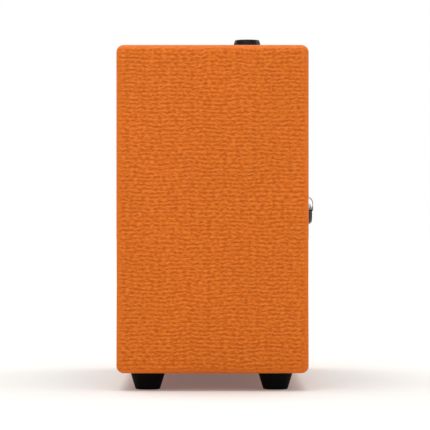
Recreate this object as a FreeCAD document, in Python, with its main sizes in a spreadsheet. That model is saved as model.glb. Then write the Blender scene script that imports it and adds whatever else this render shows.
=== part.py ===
"""Battery-powered mini guitar amplifier, as a parametric FreeCAD document.

Millimetres, +Z up. The front faces -Y, the left side faces -X, and the feet stand on Z = 0 with the
origin under the middle of the object's box. Every size comes from the sheet "dims".
"""

import FreeCAD, Part
import math
import os
import Sketcher
from FreeCAD import Placement, Rotation, Vector

DIMENSIONS = [
    # cabinet
    ("width", 148.0, "cabinet, side to side over the vinyl"),
    ("depth", 78.0, "cabinet, front to back over the vinyl"),
    ("height", 133.2, "cabinet, bottom to top over the vinyl"),
    ("board", 6.0, "thickness of the cabinet and baffle boards"),
    ("vinyl", 0.7, "thickness of the covering"),
    ("edge_round", 3.0, "outer radius of every cabinet edge"),
    ("overall_height", 145.5, "feet to the top of the knobs"),
    # feet
    ("foot_height", 7.2, "rubber foot"),
    ("foot_top_r", 7.2, "radius against the cabinet"),
    ("foot_tread_r", 5.0, "radius on the table"),
    ("foot_from_side", 15.0, "foot centre to the cabinet's side"),
    ("foot_from_front", 13.2, "foot centre to the cabinet's front"),
    ("foot_from_back", 12.4, "foot centre to the cabinet's back"),
    ("foot_screw_r", 1.6, "shank of a foot screw"),
    # grille and badge
    ("grille_recess", 2.6, "cloth face behind the cabinet's front"),
    ("cloth", 0.7, "thickness of the grille cloth"),
    ("guard", 0.8, "perforated steel sheet behind the cloth"),
    ("guard_hole_r", 3.0, "one perforation"),
    ("guard_pitch", 8.5, "hole to hole"),
    ("fit_gap", 0.3, "clearance round a board or lid in its opening"),
    ("piping_r", 1.2, "piping round the grille"),
    ("badge_width", 42.0, "domed badge with round ends"),
    ("badge_tall", 12.0, "domed badge with round ends"),
    ("badge_dome", 3.8, "thickness of the bright dome"),
    ("badge_proud", 4.0, "badge face in front of the cabinet"),
    ("badge_drop", 0.5, "badge below the middle of the grille"),
    ("badge_stud_r", 1.2, "stud of the badge"),
    ("badge_stud_x", 13.0, "stud to the badge's middle"),
    # back
    ("rear_recess", 2.2, "back panel behind the cabinet's rear edge"),
    ("back_thick", 3.0, "back panel"),
    ("back_screw_r", 1.4, "shank of a back panel screw"),
    ("back_screw_inset", 6.2, "screw to the panel's edge"),
    ("block", 12.0, "side of a glue block"),
    # controls
    ("control_forward", 14.6, "row of knobs in front of the cabinet's middle"),
    ("window_long", 118.0, "opening in the top, side to side"),
    ("window_deep", 24.0, "opening in the top, front to back"),
    ("panel_thick", 1.5, "aluminium control panel"),
    ("panel_screw_r", 1.1, "shank of a control panel screw"),
    ("jack_x", -49.0, "input jack"),
    ("gain_x", -27.5, "gain knob"),
    ("tone_x", -5.5, "tone knob"),
    ("volume_x", 16.5, "volume knob"),
    ("lamp_x", 34.0, "power lamp"),
    ("switch_x", 48.0, "power switch"),
    ("knob_gap", 0.8, "knob above the panel"),
    ("knob_skirt_r", 8.0, "foot of a knob"),
    ("knob_top_r", 5.1, "top of a knob"),
    ("shaft_r", 3.0, "shaft of a control"),
    ("running", 0.05, "radial clearance of a turning shaft"),
    ("pot_body", 6.8, "height of a control's body"),
    ("pcb", 1.6, "circuit board"),
    ("switch_tilt", 12.0, "lean of the switch lever, in degrees"),
    # speaker, measured back from its mounting face
    ("speaker_r", 51.0, "flange radius, for a 102 mm speaker"),
    ("cone_hole_r", 44.0, "hole in the baffle"),
    ("speaker_bolt_r", 48.15, "screw circle"),
    ("speaker_screw_r", 1.4, "shank of a speaker screw"),
    ("coil_r", 10.0, "middle of the voice coil"),
    ("magnet_r", 30.0, "ferrite ring"),
    ("magnet_thick", 9.0, "ferrite ring"),
    # battery
    ("battery_long", 46.5, "nine volt block without its studs"),
    ("battery_tall", 26.2, "nine volt block"),
    ("battery_thick", 17.3, "nine volt block"),
    ("tray_z", 38.0, "middle of the battery tray"),
    ("pocket_long", 58.0, "battery pocket"),
    ("pocket_tall", 28.0, "battery pocket"),
    ("pocket_deep", 17.8, "battery pocket below the lid"),
    ("tray_wall", 1.5, "battery tray"),
    ("lid_thick", 2.0, "battery lid"),
    ("hinge_pin_r", 0.9, "pins of the battery lid"),
    ("hinge_bore_r", 0.98, "sockets of those pins"),
    # rear sockets
    ("socket_z", 112.0, "row of rear sockets"),
    ("inlet_x", -40.0, "power inlet"),
    ("phones_x", -17.0, "headphone socket"),
    ("line_x", 6.0, "line input socket"),
]

doc = FreeCAD.newDocument("mini_amplifier")
sheet = doc.addObject("Spreadsheet::Sheet", "dims")
for row, (alias, value, note) in enumerate(DIMENSIONS, start=1):
    sheet.set(f"A{row}", note)
    sheet.set(f"B{row}", str(value))
    sheet.setAlias(f"B{row}", alias)
doc.recompute()

# planes that many pieces share, as expressions of the sheet
FRONT = "((dims.badge_proud - dims.depth) / 2)"
BACK = "((dims.badge_proud + dims.depth) / 2)"
MIDDLE_Y = "(dims.badge_proud / 2)"
BASE = "dims.foot_height"
TOP = "(dims.foot_height + dims.height)"
MIDDLE_Z = "(dims.foot_height + dims.height / 2)"
BADGE_Z = f"({MIDDLE_Z} - dims.badge_drop)"
HALF = "(dims.width / 2)"
WALL = "(dims.vinyl + dims.board)"
INNER_X = f"({HALF} - {WALL})"
INNER_LOW = f"({BASE} + {WALL})"
INNER_HIGH = f"({TOP} - {WALL})"
CLOTH_FACE = f"({FRONT} + dims.grille_recess)"
GUARD_FACE = f"({CLOTH_FACE} + dims.cloth)"
BAFFLE_FACE = f"({GUARD_FACE} + dims.guard)"
BAFFLE_REAR = f"({BAFFLE_FACE} + dims.board)"
PANEL_OUT = f"({BACK} - dims.rear_recess)"
PANEL_IN = f"({PANEL_OUT} - dims.back_thick)"
CONTROL_Y = f"({MIDDLE_Y} - dims.control_forward)"
PANEL_TOP = INNER_HIGH
PANEL_LOW = f"({PANEL_TOP} - dims.panel_thick)"
PCB_TOP = f"({PANEL_LOW} - dims.pot_body)"
PCB_LOW = f"({PCB_TOP} - dims.pcb)"
KNOB_LOW = f"({PANEL_TOP} + dims.knob_gap)"
KNOB_TALL = f"(dims.overall_height - {KNOB_LOW})"

UP = Rotation()
FORWARD = Rotation(Vector(1, 0, 0), 90)  # a piece's own Z points to -Y, out of the grille
BACKWARD = Rotation(Vector(1, 0, 0), -90)  # a piece's own Z points to +Y, out of the back
ALONG_X = Rotation(Vector(0, 1, 0), 90)
DOWN = Rotation(Vector(1, 0, 0), 180)

parts = {}


reading = doc.addObject("Spreadsheet::Sheet", "reading")
known = {}


def number(expression):
    """The value of an expression of the sheet, read through one cell of a working sheet."""
    text = str(expression)
    if text not in known:
        reading.set("A1", "=" + text)
        reading.recompute()
        known[text] = float(reading.get("A1"))
    return known[text]


def part(label, made):
    """Gives a finished piece the label that names its file."""
    made.Label = label
    parts[label] = made
    return made


def place(made, at, turn=UP):
    made.Placement = Placement(Vector(), turn)
    for axis, expression in zip("xyz", at):
        made.setExpression(f"Placement.Base.{axis}", str(expression))
    return made


def box(name, x, y, z):
    """A block between pairs of low and high expressions."""
    made = doc.addObject("Part::Box", name)
    for size, axis, (low, high) in (
        ("Length", "x", x),
        ("Width", "y", y),
        ("Height", "z", z),
    ):
        made.setExpression(size, f"({high}) - ({low})")
        made.setExpression(f"Placement.Base.{axis}", str(low))
    return made


def centred_box(name, centre, size):
    """A block with its middle at centre."""
    spans = [
        (f"{c} - ({s}) / 2", f"{c} + ({s}) / 2") for c, s in zip(centre, size)
    ]
    return box(name, *spans)


def cylinder(name, radius, length, at, turn=UP):
    made = doc.addObject("Part::Cylinder", name)
    made.setExpression("Radius", str(radius))
    made.setExpression("Height", str(length))
    return place(made, at, turn)


def hexagon(name, across_flats, length, at, turn=UP):
    made = doc.addObject("Part::Prism", name)
    made.Polygon = 6
    made.setExpression("Circumradius", f"({across_flats}) / sqrt(3)")
    made.setExpression("Height", str(length))
    return place(made, at, turn)


def fuse(name, *pieces):
    if len(pieces) == 1:
        return pieces[0]
    made = doc.addObject("Part::MultiFuse", name)
    made.Shapes = list(pieces)
    made.Refine = True
    return made


def cut(name, base, *tools):
    made = doc.addObject("Part::Cut", name)
    made.Base = base
    made.Tool = fuse(name + "_tools", *tools)
    made.Refine = True
    return made


def common(name, *pieces):
    made = doc.addObject("Part::MultiCommon", name)
    made.Shapes = list(pieces)
    made.Refine = True
    return made


def group(label, pieces):
    """Several separate solids that share one node."""
    made = doc.addObject("Part::Compound", label)
    made.Links = list(pieces)
    return part(label, made)


def origin_plane(body, role):
    return next(f for f in body.Origin.OriginFeatures if f.Role == role)


def outline(body, name, points, role="XZ_Plane"):
    """A closed sketch through points (across, up) or (across, up, radius).

    A radius makes the edge that arrives at its point an arc, turning left if it is positive and
    right if it is negative. Each corner and radius is bound to its expression.
    """
    sketch = body.newObject("Sketcher::SketchObject", name)
    sketch.AttachmentSupport = [(origin_plane(body, role), "")]
    sketch.MapMode = "FlatFace"
    corners = [Vector(number(p[0]), number(p[1]), 0) for p in points]
    count = len(points)
    heads, tails, radii = [], [], {}
    for i in range(count):
        a, b = corners[i], corners[(i + 1) % count]
        arriving = points[(i + 1) % count]
        if len(arriving) == 2:
            sketch.addGeometry(Part.LineSegment(a, b), False)
            heads.append(1)
            tails.append(2)
            continue
        bend = number(arriving[2])
        chord = b - a
        left = Vector(-chord.y, chord.x, 0) / chord.Length
        reach = math.sqrt(max(bend * bend - chord.Length**2 / 4, 0))
        centre = (a + b) / 2 + left * math.copysign(reach, bend)
        start, end = (a, b) if bend > 0 else (b, a)
        angles = [math.atan2(p.y - centre.y, p.x - centre.x) for p in (start, end)]
        circle = Part.Circle(centre, Vector(0, 0, 1), abs(bend))
        sketch.addGeometry(Part.ArcOfCircle(circle, *angles), False)
        heads.append(1 if bend > 0 else 2)
        tails.append(2 if bend > 0 else 1)
        radii[i] = (arriving[2], abs(bend))
    for i in range(count):
        after = (i + 1) % count
        sketch.addConstraint(
            Sketcher.Constraint("Coincident", i, tails[i], after, heads[after])
        )
    for i, point in enumerate(points):
        for kind, text, value in (
            ("DistanceX", point[0], corners[i].x),
            ("DistanceY", point[1], corners[i].y),
        ):
            index = sketch.addConstraint(
                Sketcher.Constraint(kind, -1, 1, i, heads[i], value)
            )
            sketch.setExpression(f"Constraints[{index}]", str(text))
    for i, (text, value) in radii.items():
        index = sketch.addConstraint(Sketcher.Constraint("Radius", i, value))
        sketch.setExpression(f"Constraints[{index}]", f"abs({text})")
    return sketch


def new_body(name):
    return doc.addObject("PartDesign::Body", name)


def turned(name, points, at=("0", "0", "0"), turn=UP):
    """A lathe piece: an outline of (radius, height) points, turned about the piece's own Z axis."""
    body = new_body(name)
    sketch = outline(body, name + "_outline", points)
    spin = body.newObject("PartDesign::Revolution", name + "_turned")
    spin.Profile = sketch
    spin.ReferenceAxis = (sketch, ["V_Axis"])
    spin.Angle = 360
    return place(body, at, turn)


def ring_edges(shape, radius, height):
    """Names of the circular edges of that radius at that height on a lathe piece."""
    return [
        f"Edge{i}"
        for i, edge in enumerate(shape.Edges, start=1)
        if edge.Curve.TypeId == "Part::GeomCircle"
        and abs(edge.Curve.Radius - radius) < 1e-4
        and abs(edge.Curve.Center.z - height) < 1e-4
    ]


def round_ring(body, radius, height, amount):
    """Rounds one circular edge of a lathe piece."""
    doc.recompute()
    feature = body.Tip
    made = body.newObject("PartDesign::Fillet", body.Name + "_round")
    made.Base = (feature, ring_edges(feature.Shape, number(radius), number(height)))
    made.setExpression("Radius", str(amount))
    return body


def padded(name, points, length, at=("0", "0", "0"), turn=UP):
    """An outline on the piece's own XY plane, padded along its Z axis."""
    body = new_body(name)
    sketch = outline(body, name + "_outline", points, "XY_Plane")
    pad = body.newObject("PartDesign::Pad", name + "_pad")
    pad.Profile = sketch
    pad.setExpression("Length", str(length))
    return place(body, at, turn)


def rounded_bar(name, width, tall, length, at, turn):
    """A plate with half-round ends."""
    r = f"({tall}) / 2"
    x = f"(({width}) - ({tall})) / 2"
    tip = f"({width}) / 2"
    points = [
        (f"-{x}", f"-{r}", r),
        (x, f"-{r}"),
        (tip, "0", r),
        (x, r, r),
        (f"-{x}", r),
        (f"-{tip}", "0", r),
    ]
    return padded(name, points, length, at, turn)


def round_far_face(body, amount):
    """Rounds the rim of a padded plate's far face."""
    doc.recompute()
    pad = body.Tip
    far = pad.Length.Value
    rim = [
        f"Edge{i}"
        for i, edge in enumerate(pad.Shape.Edges, start=1)
        if abs(edge.BoundBox.ZMin - far) < 1e-4 and abs(edge.BoundBox.ZMax - far) < 1e-4
    ]
    made = body.newObject("PartDesign::Fillet", body.Name + "_round")
    made.Base = (pad, rim)
    made.setExpression("Radius", str(amount))
    return body


def screw(name, shank_r, length, at, turn, head_tall=1.6):
    """A pan-head screw with a cross recess. Its own Z points out of the head, from under the head."""
    head_r = f"({shank_r}) * 2"
    blank = turned(
        name + "_blank",
        [
            ("0", f"-({length})"),
            (shank_r, f"-({length}) + 1"),
            (shank_r, "0"),
            (head_r, "0"),
            (head_r, f"{head_tall} * 0.4"),
            (f"({head_r}) * 0.62", str(head_tall)),
            ("0", str(head_tall)),
        ],
    )
    slots = []
    for mark, (across, along) in {"a": (1.3, 0.26), "b": (0.26, 1.3)}.items():
        slot = box(
            f"{name}_slot_{mark}",
            (f"-({shank_r}) * {across}", f"({shank_r}) * {across}"),
            (f"-({shank_r}) * {along}", f"({shank_r}) * {along}"),
            (f"{head_tall} * 0.35", f"{head_tall} + 1"),
        )
        slots.append(slot)
    return place(cut(name, blank, *slots), at, turn)


def rounded_block(name, inset, radius):
    """The cabinet's outer box, brought in by inset all round, with every edge rounded."""
    x, y = f"({HALF} - {inset})", f"(dims.depth / 2 - {inset})"
    corners = [(f"-{x}", f"-{y}"), (x, f"-{y}"), (x, y), (f"-{x}", y)]
    body = padded(
        name,
        corners,
        f"dims.height - 2 * ({inset})",
        ("0", MIDDLE_Y, f"{BASE} + {inset}"),
    )
    doc.recompute()
    pad = body.Tip
    made = body.newObject("PartDesign::Fillet", name + "_edges")
    made.Base = (pad, [f"Edge{i}" for i in range(1, len(pad.Shape.Edges) + 1)])
    made.setExpression("Radius", str(radius))
    return body


def window(name, grow, z):
    """The opening in the top for the controls, grown all round."""
    return box(
        name,
        (f"-dims.window_long / 2 - {grow}", f"dims.window_long / 2 + {grow}"),
        (
            f"{CONTROL_Y} - dims.window_deep / 2 - {grow}",
            f"{CONTROL_Y} + dims.window_deep / 2 + {grow}",
        ),
        z,
    )


FEET = {
    "front_left": (-1, f"({FRONT} + dims.foot_from_front)"),
    "front_right": (1, f"({FRONT} + dims.foot_from_front)"),
    "rear_left": (-1, f"({BACK} - dims.foot_from_back)"),
    "rear_right": (1, f"({BACK} - dims.foot_from_back)"),
}
FOOT_X = f"({HALF} - dims.foot_from_side)"


def foot_screw_holes(name, low, high):
    return [
        cylinder(
            f"{name}_{corner}",
            "dims.foot_screw_r",
            f"({high}) - ({low})",
            (f"{side} * {FOOT_X}", y, low),
        )
        for corner, (side, y) in FEET.items()
    ]


PANEL_SCREW_X = "(dims.window_long / 2 + 3.4)"
PANEL_SCREW_DY = "8"


def panel_screw_places():
    return [
        (f"{sx} * {PANEL_SCREW_X}", f"{CONTROL_Y} + {sy} * {PANEL_SCREW_DY}")
        for sx in (-1, 1)
        for sy in (-1, 1)
    ]


def cabinet_boards():
    """Four boards: the top and bottom run over the ends of the two sides."""
    block = rounded_block("frame_block", "dims.vinyl", "dims.edge_round - dims.vinyl")
    hollow = box(
        "cavity",
        (f"-{INNER_X}", INNER_X),
        (f"{FRONT} - 1", f"{BACK} + 1"),
        (INNER_LOW, INNER_HIGH),
    )
    far_y = (f"{FRONT} - 1", f"{BACK} + 1")
    all_x = (f"-{HALF} - 1", f"{HALF} + 1")
    top_slab = box("top_slab", all_x, far_y, (INNER_HIGH, f"{TOP} + 1"))
    low_slab = box("low_slab", all_x, far_y, (f"{BASE} - 1", INNER_LOW))
    between = (INNER_LOW, INNER_HIGH)
    left_slab = box("left_slab", (f"-{HALF} - 1", f"-{INNER_X}"), far_y, between)
    right_slab = box("right_slab", (INNER_X, f"{HALF} + 1"), far_y, between)
    opening = window("board_window", "dims.vinyl", (f"{INNER_HIGH} - 1", f"{TOP} + 1"))
    pilots = [
        cylinder(f"panel_pilot_{i}", "dims.panel_screw_r", "4.6", (x, y, INNER_HIGH))
        for i, (x, y) in enumerate(panel_screw_places())
    ]
    top_blank = common("top_blank", block, top_slab)
    part("top_board", cut("top_cut", top_blank, opening, *pilots))
    low_blank = common("low_blank", block, low_slab)
    pilots = foot_screw_holes("foot_pilot", f"{BASE} - 1", f"{BASE} + 5.4")
    part("bottom_board", cut("low_cut", low_blank, *pilots))
    part("left_board", common("left_common", block, left_slab))
    part("right_board", common("right_common", block, right_slab))
    return hollow


def vinyl_covering(hollow):
    """The covering: outer skin, turned over the front and rear edges and down the control opening."""
    outer = rounded_block("skin_block", "0", "dims.edge_round")
    inner = rounded_block("skin_core", "dims.vinyl", "dims.edge_round - dims.vinyl")
    skin = cut("skin_shell", outer, inner, hollow)
    lined = []
    for name, y in (
        ("front", (f"{FRONT} + dims.edge_round", BAFFLE_REAR)),
        ("rear", (PANEL_IN, f"{BACK} - dims.edge_round")),
    ):
        over_y = (
            (f"{FRONT} + dims.vinyl / 2", y[1])
            if name == "front"
            else (y[0], f"{BACK} - dims.vinyl / 2")
        )
        sleeve = box(
            f"{name}_sleeve", (f"-{INNER_X}", INNER_X), over_y, (INNER_LOW, INNER_HIGH)
        )
        bore = box(
            f"{name}_sleeve_bore",
            (f"-{INNER_X} + dims.vinyl", f"{INNER_X} - dims.vinyl"),
            (f"{over_y[0]} - 5", f"{over_y[1]} + 5"),
            (f"{INNER_LOW} + dims.vinyl", f"{INNER_HIGH} - dims.vinyl"),
        )
        lined.append(cut(f"{name}_lining", sleeve, bore))
    well = window("well_block", "dims.vinyl", (INNER_HIGH, f"{TOP} - dims.vinyl / 2"))
    solid = fuse("skin_fused", skin, *lined, well)
    opening = window("well_bore", "0", (f"{INNER_HIGH} - 1", f"{TOP} + 1"))
    holes = foot_screw_holes("skin_hole", f"{BASE} - 1", f"{BASE} + 2")
    part("vinyl_covering", cut("skin_cut", solid, opening, *holes))


def back_screw_places():
    x = f"({INNER_X} - dims.vinyl - dims.fit_gap - dims.back_screw_inset)"
    low = f"({INNER_LOW} + dims.vinyl + dims.fit_gap + dims.back_screw_inset)"
    high = f"({INNER_HIGH} - dims.vinyl - dims.fit_gap - dims.back_screw_inset)"
    return [(f"{s} * {x}", z) for s in (-1, 1) for z in (low, MIDDLE_Z, high)]


def glue_blocks():
    """Six rear blocks that take the back panel's screws, and two front battens for the baffle."""
    blocks = []
    for i, (x, z) in enumerate(back_screw_places()):
        side = -1 if i < 3 else 1
        outer, inner = f"{side} * {INNER_X}", f"{side} * ({INNER_X} - dims.block)"
        spans = (outer, inner) if side < 0 else (inner, outer)
        height = [
            (INNER_LOW, f"{INNER_LOW} + dims.block"),
            (f"{MIDDLE_Z} - dims.block / 2", f"{MIDDLE_Z} + dims.block / 2"),
            (f"{INNER_HIGH} - dims.block", INNER_HIGH),
        ][i % 3]
        blank = box(f"rear_block_{i}", spans, (f"{PANEL_IN} - dims.block", PANEL_IN), height)
        pilot = cylinder(
            f"block_pilot_{i}", "dims.back_screw_r", "9", (x, f"{PANEL_IN} - 8", z), BACKWARD
        )
        blocks.append(cut(f"rear_block_cut_{i}", blank, pilot))
    for side in (-1, 1):
        outer, inner = f"{side} * {INNER_X}", f"{side} * ({INNER_X} - 7)"
        spans = (outer, inner) if side < 0 else (inner, outer)
        name = "left" if side < 0 else "right"
        blocks.append(
            box(
                f"{name}_batten",
                spans,
                (BAFFLE_REAR, f"{BAFFLE_REAR} + 8"),
                (f"{INNER_LOW} + 8", f"{INNER_HIGH} - 26"),
            )
        )
    group("glue_blocks", blocks)


def speaker_screw_places():
    """Four places on the screw circle, each as (x, z)."""
    reach = "(dims.speaker_bolt_r * sqrt(0.5))"
    return [
        (f"{sx} * {reach}", f"({MIDDLE_Z} + {sz} * {reach})")
        for sx in (-1, 1)
        for sz in (-1, 1)
    ]


EDGE_GAP = "(dims.vinyl + dims.fit_gap + dims.cloth)"


def front_rectangle(name, inset, y):
    """A plate as large as the cavity, brought in by inset all round."""
    return box(
        name,
        (f"-{INNER_X} + {inset}", f"{INNER_X} - {inset}"),
        y,
        (f"{INNER_LOW} + {inset}", f"{INNER_HIGH} - {inset}"),
    )


def stud_holes(name, radius, low, high):
    return [
        cylinder(
            f"{name}_{i}",
            radius,
            f"({high}) - ({low})",
            (f"{side} * dims.badge_stud_x", low, BADGE_Z),
            BACKWARD,
        )
        for i, side in enumerate((-1, 1))
    ]


def perforations():
    """One shape holding a staggered field of cylinders inside the speaker's hole."""
    pitch, radius = number("dims.guard_pitch"), number("dims.guard_hole_r")
    field = number("dims.cone_hole_r") - radius
    low, deep = number(f"{GUARD_FACE} - 1"), number("dims.guard + 2")
    middle, stud = number(MIDDLE_Z), number("dims.badge_stud_x")
    rows = int(field / (pitch * math.sqrt(0.75))) + 1
    holes = []
    for row in range(-rows, rows + 1):
        z = row * pitch * math.sqrt(0.75)
        shift = pitch / 2 if row % 2 else 0
        for column in range(-rows, rows + 1):
            x = column * pitch + shift
            near_stud = abs(z) < 1 and abs(abs(x) - stud) < radius + 3
            if math.hypot(x, z) <= field and not near_stud:
                at = Vector(x, low, middle + z)
                holes.append(Part.makeCylinder(radius, deep, at, Vector(0, 1, 0)))
    made = doc.addObject("Part::Feature", "perforation_field")
    made.Shape = Part.makeCompound(holes)
    return made


def baffle_and_grille():
    hole = cylinder(
        "cone_hole",
        "dims.cone_hole_r",
        "dims.board + 2",
        ("0", f"{BAFFLE_FACE} - 1", MIDDLE_Z),
        BACKWARD,
    )
    pilots = [
        cylinder(
            f"speaker_pilot_{i}", "dims.speaker_screw_r", "6", (x, f"{BAFFLE_REAR} - 5", z), BACKWARD
        )
        for i, (x, z) in enumerate(speaker_screw_places())
    ]
    board = front_rectangle("baffle_blank", EDGE_GAP, (BAFFLE_FACE, BAFFLE_REAR))
    part("baffle_board", cut("baffle_cut", board, hole, *pilots))
    sheet_metal = front_rectangle("guard_blank", EDGE_GAP, (GUARD_FACE, BAFFLE_FACE))
    studs = stud_holes("guard_stud", "dims.badge_stud_r", f"{GUARD_FACE} - 1", f"{BAFFLE_FACE} + 1")
    part("grille_guard", cut("guard_cut", sheet_metal, perforations(), *studs))
    gap = "(dims.vinyl + dims.fit_gap)"
    blank = front_rectangle("cloth_blank", gap, (CLOTH_FACE, BAFFLE_REAR))
    core = front_rectangle("cloth_core", EDGE_GAP, (GUARD_FACE, f"{BAFFLE_REAR} + 1"))
    studs = stud_holes("cloth_stud", "dims.badge_stud_r", f"{CLOTH_FACE} - 1", f"{GUARD_FACE} + 1")
    part("grille_cloth", cut("cloth_cut", blank, core, *studs))


def piping():
    """A round bead swept round the corner between the cloth and the covering."""
    inset = "(dims.vinyl + dims.piping_r + 0.05)"
    x = f"({INNER_X} - {inset})"
    low, high = f"({INNER_LOW} + {inset})", f"({INNER_HIGH} - {inset})"
    bend = "2.4"
    body = new_body("piping_body")
    path = outline(
        body,
        "piping_path",
        [
            ("0", low),
            (f"{x} - {bend}", low),
            (x, f"{low} + {bend}", bend),
            (x, f"{high} - {bend}"),
            (f"{x} - {bend}", high, bend),
            (f"-{x} + {bend}", high),
            (f"-{x}", f"{high} - {bend}", bend),
            (f"-{x}", f"{low} + {bend}"),
            (f"-{x} + {bend}", low, bend),
        ],
    )
    ring = body.newObject("Sketcher::SketchObject", "piping_section")
    ring.AttachmentSupport = [(origin_plane(body, "YZ_Plane"), "")]
    ring.MapMode = "FlatFace"
    radius = number("dims.piping_r")
    ring.addGeometry(Part.Circle(Vector(0, number(low), 0), Vector(0, 0, 1), radius), False)
    ring.addConstraint(Sketcher.Constraint("PointOnObject", 0, 3, -2))
    for kind, text, where in (("DistanceY", low, (-1, 1, 0, 3)), ("Radius", "dims.piping_r", (0,))):
        index = ring.addConstraint(Sketcher.Constraint(kind, *where, number(text)))
        ring.setExpression(f"Constraints[{index}]", text)
    sweep = body.newObject("PartDesign::AdditivePipe", "piping_sweep")
    sweep.Profile = ring
    sweep.Spine = (path, [])
    place(body, ("0", f"{CLOTH_FACE} - dims.piping_r - 0.05", "0"))
    part("grille_piping", body)


def badge():
    """A bright domed bar on a black plinth, held by two studs and push nuts behind the guard."""
    face = f"({FRONT} - dims.badge_proud)"
    seat = f"({face} + dims.badge_dome)"
    dome = rounded_bar(
        "badge_bar",
        "dims.badge_width",
        "dims.badge_tall",
        "dims.badge_dome",
        ("0", seat, BADGE_Z),
        FORWARD,
    )
    round_far_face(dome, "dims.badge_dome * 0.66")
    studs = stud_holes("badge_stud", "dims.badge_stud_r", f"{seat} - 0.5", f"{BAFFLE_FACE} + 2.4")
    part("badge_dome", fuse("badge_with_studs", dome, *studs))
    plinth = rounded_bar(
        "plinth_bar",
        "dims.badge_width - 2.4",
        "dims.badge_tall - 2.4",
        f"{CLOTH_FACE} - {seat}",
        ("0", CLOTH_FACE, BADGE_Z),
        FORWARD,
    )
    bores = stud_holes("plinth_bore", "dims.badge_stud_r", f"{seat} - 1", f"{CLOTH_FACE} + 1")
    part("badge_plinth", cut("plinth_cut", plinth, *bores))
    nuts = [
        turned(
            f"push_nut_{i}",
            [("dims.badge_stud_r", "0"), ("3.2", "0"), ("3.2", "0.5"), ("dims.badge_stud_r", "1.0")],
            (f"{side} * dims.badge_stud_x", BAFFLE_FACE, BADGE_Z),
            BACKWARD,
        )
        for i, side in enumerate((-1, 1))
    ]
    group("badge_nuts", nuts)


def feet():
    """Four conical rubber feet, each with a screw sunk in its tread."""
    screws = []
    for corner, (side, y) in FEET.items():
        at = (f"{side} * {FOOT_X}", y, "0")
        body = turned(
            f"foot_{corner}_body",
            [
                ("3.6", "0"),
                ("dims.foot_tread_r", "0"),
                ("dims.foot_top_r", "dims.foot_height"),
                ("dims.foot_screw_r", "dims.foot_height"),
                ("dims.foot_screw_r", "3.0"),
                ("3.6", "3.0"),
            ],
            at,
        )
        part(f"foot_{corner}", round_ring(body, "dims.foot_tread_r", "0", "0.35"))
        screws.append(
            screw(f"foot_screw_{corner}", "dims.foot_screw_r", "9", (at[0], y, "3.0"), DOWN)
        )
    group("foot_screws", screws)


def control_panel():
    plate = box(
        "panel_blank",
        ("-dims.window_long / 2 - 6", "dims.window_long / 2 + 6"),
        (
            f"{CONTROL_Y} - dims.window_deep / 2 - 2",
            f"{CONTROL_Y} + dims.window_deep / 2 + 2",
        ),
        (PANEL_LOW, PANEL_TOP),
    )
    holes = [
        cylinder(f"panel_hole_{i}", r, "dims.panel_thick + 2", (x, CONTROL_Y, f"{PANEL_LOW} - 1"))
        for i, (x, r) in enumerate(
            (
                ("dims.jack_x", "4.8"),
                ("dims.gain_x", "3.6"),
                ("dims.tone_x", "3.6"),
                ("dims.volume_x", "3.6"),
                ("dims.lamp_x", "1.55"),
                ("dims.switch_x", "3.1"),
            )
        )
    ]
    holes += [
        cylinder(
            f"panel_screw_hole_{i}", "dims.panel_screw_r", "dims.panel_thick + 2", (x, y, f"{PANEL_LOW} - 1")
        )
        for i, (x, y) in enumerate(panel_screw_places())
    ]
    part("control_panel", cut("panel_cut", plate, *holes))
    group(
        "control_panel_screws",
        [
            screw(f"panel_screw_{i}", "dims.panel_screw_r", "5.6", (x, y, PANEL_LOW), DOWN, 1.2)
            for i, (x, y) in enumerate(panel_screw_places())
        ],
    )
    board = box("board_blank", ("-38", "57"), ("-22.4", "8"), (PCB_LOW, PCB_TOP))
    fixing = [
        cylinder(f"board_hole_{i}", "1.2", "dims.pcb + 2", (x, "5", f"{PCB_LOW} - 1"))
        for i, x in enumerate(("-34", "53"))
    ]
    part("control_board", cut("board_cut", board, *fixing))


def rotary_control(name, x):
    """One potentiometer with its nut, shaft and knob."""
    case = centred_box(
        f"{name}_case",
        (x, CONTROL_Y, f"({PCB_TOP} + dims.pot_body / 2)"),
        ("9.8", "11.4", "dims.pot_body"),
    )
    bush = cylinder(f"{name}_bush", "3.5", "dims.panel_thick + 3.5", (x, CONTROL_Y, PANEL_LOW))
    bore = cylinder(
        f"{name}_bore", "dims.shaft_r + dims.running", "20", (x, CONTROL_Y, f"{PCB_TOP} + 1.2")
    )
    part(f"{name}_pot", cut(f"{name}_pot_cut", fuse(f"{name}_pot_fused", case, bush), bore))
    shaft_low = f"({PCB_TOP} + 1.4)"
    shaft = turned(
        f"{name}_shaft_body",
        [
            ("0", "0"),
            ("dims.shaft_r", "0"),
            ("dims.shaft_r", f"{KNOB_LOW} + 8.6 - {shaft_low}"),
            ("dims.shaft_r - 0.4", f"{KNOB_LOW} + 9.0 - {shaft_low}"),
            ("0", f"{KNOB_LOW} + 9.0 - {shaft_low}"),
        ],
        (x, CONTROL_Y, shaft_low),
    )
    part(f"{name}_shaft", shaft)
    knob = turned(
        f"{name}_knob_body",
        [
            ("6.2", "0"),
            ("dims.knob_skirt_r", "0"),
            ("dims.knob_skirt_r", "1.8"),
            ("dims.knob_top_r", KNOB_TALL),
            ("0", KNOB_TALL),
            ("0", "9.1"),
            ("dims.shaft_r", "9.1"),
            ("dims.shaft_r", "3.6"),
            ("6.2", "3.6"),
        ],
        (x, CONTROL_Y, KNOB_LOW),
    )
    part(f"{name}_knob", round_ring(knob, "dims.knob_top_r", KNOB_TALL, "0.35"))
    nut = hexagon(f"{name}_nut_hex", "10", "2", (x, CONTROL_Y, PANEL_TOP))
    thread = cylinder(f"{name}_nut_bore", "3.5", "4", (x, CONTROL_Y, f"{PANEL_TOP} - 1"))
    return cut(f"{name}_nut", nut, thread)


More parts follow.
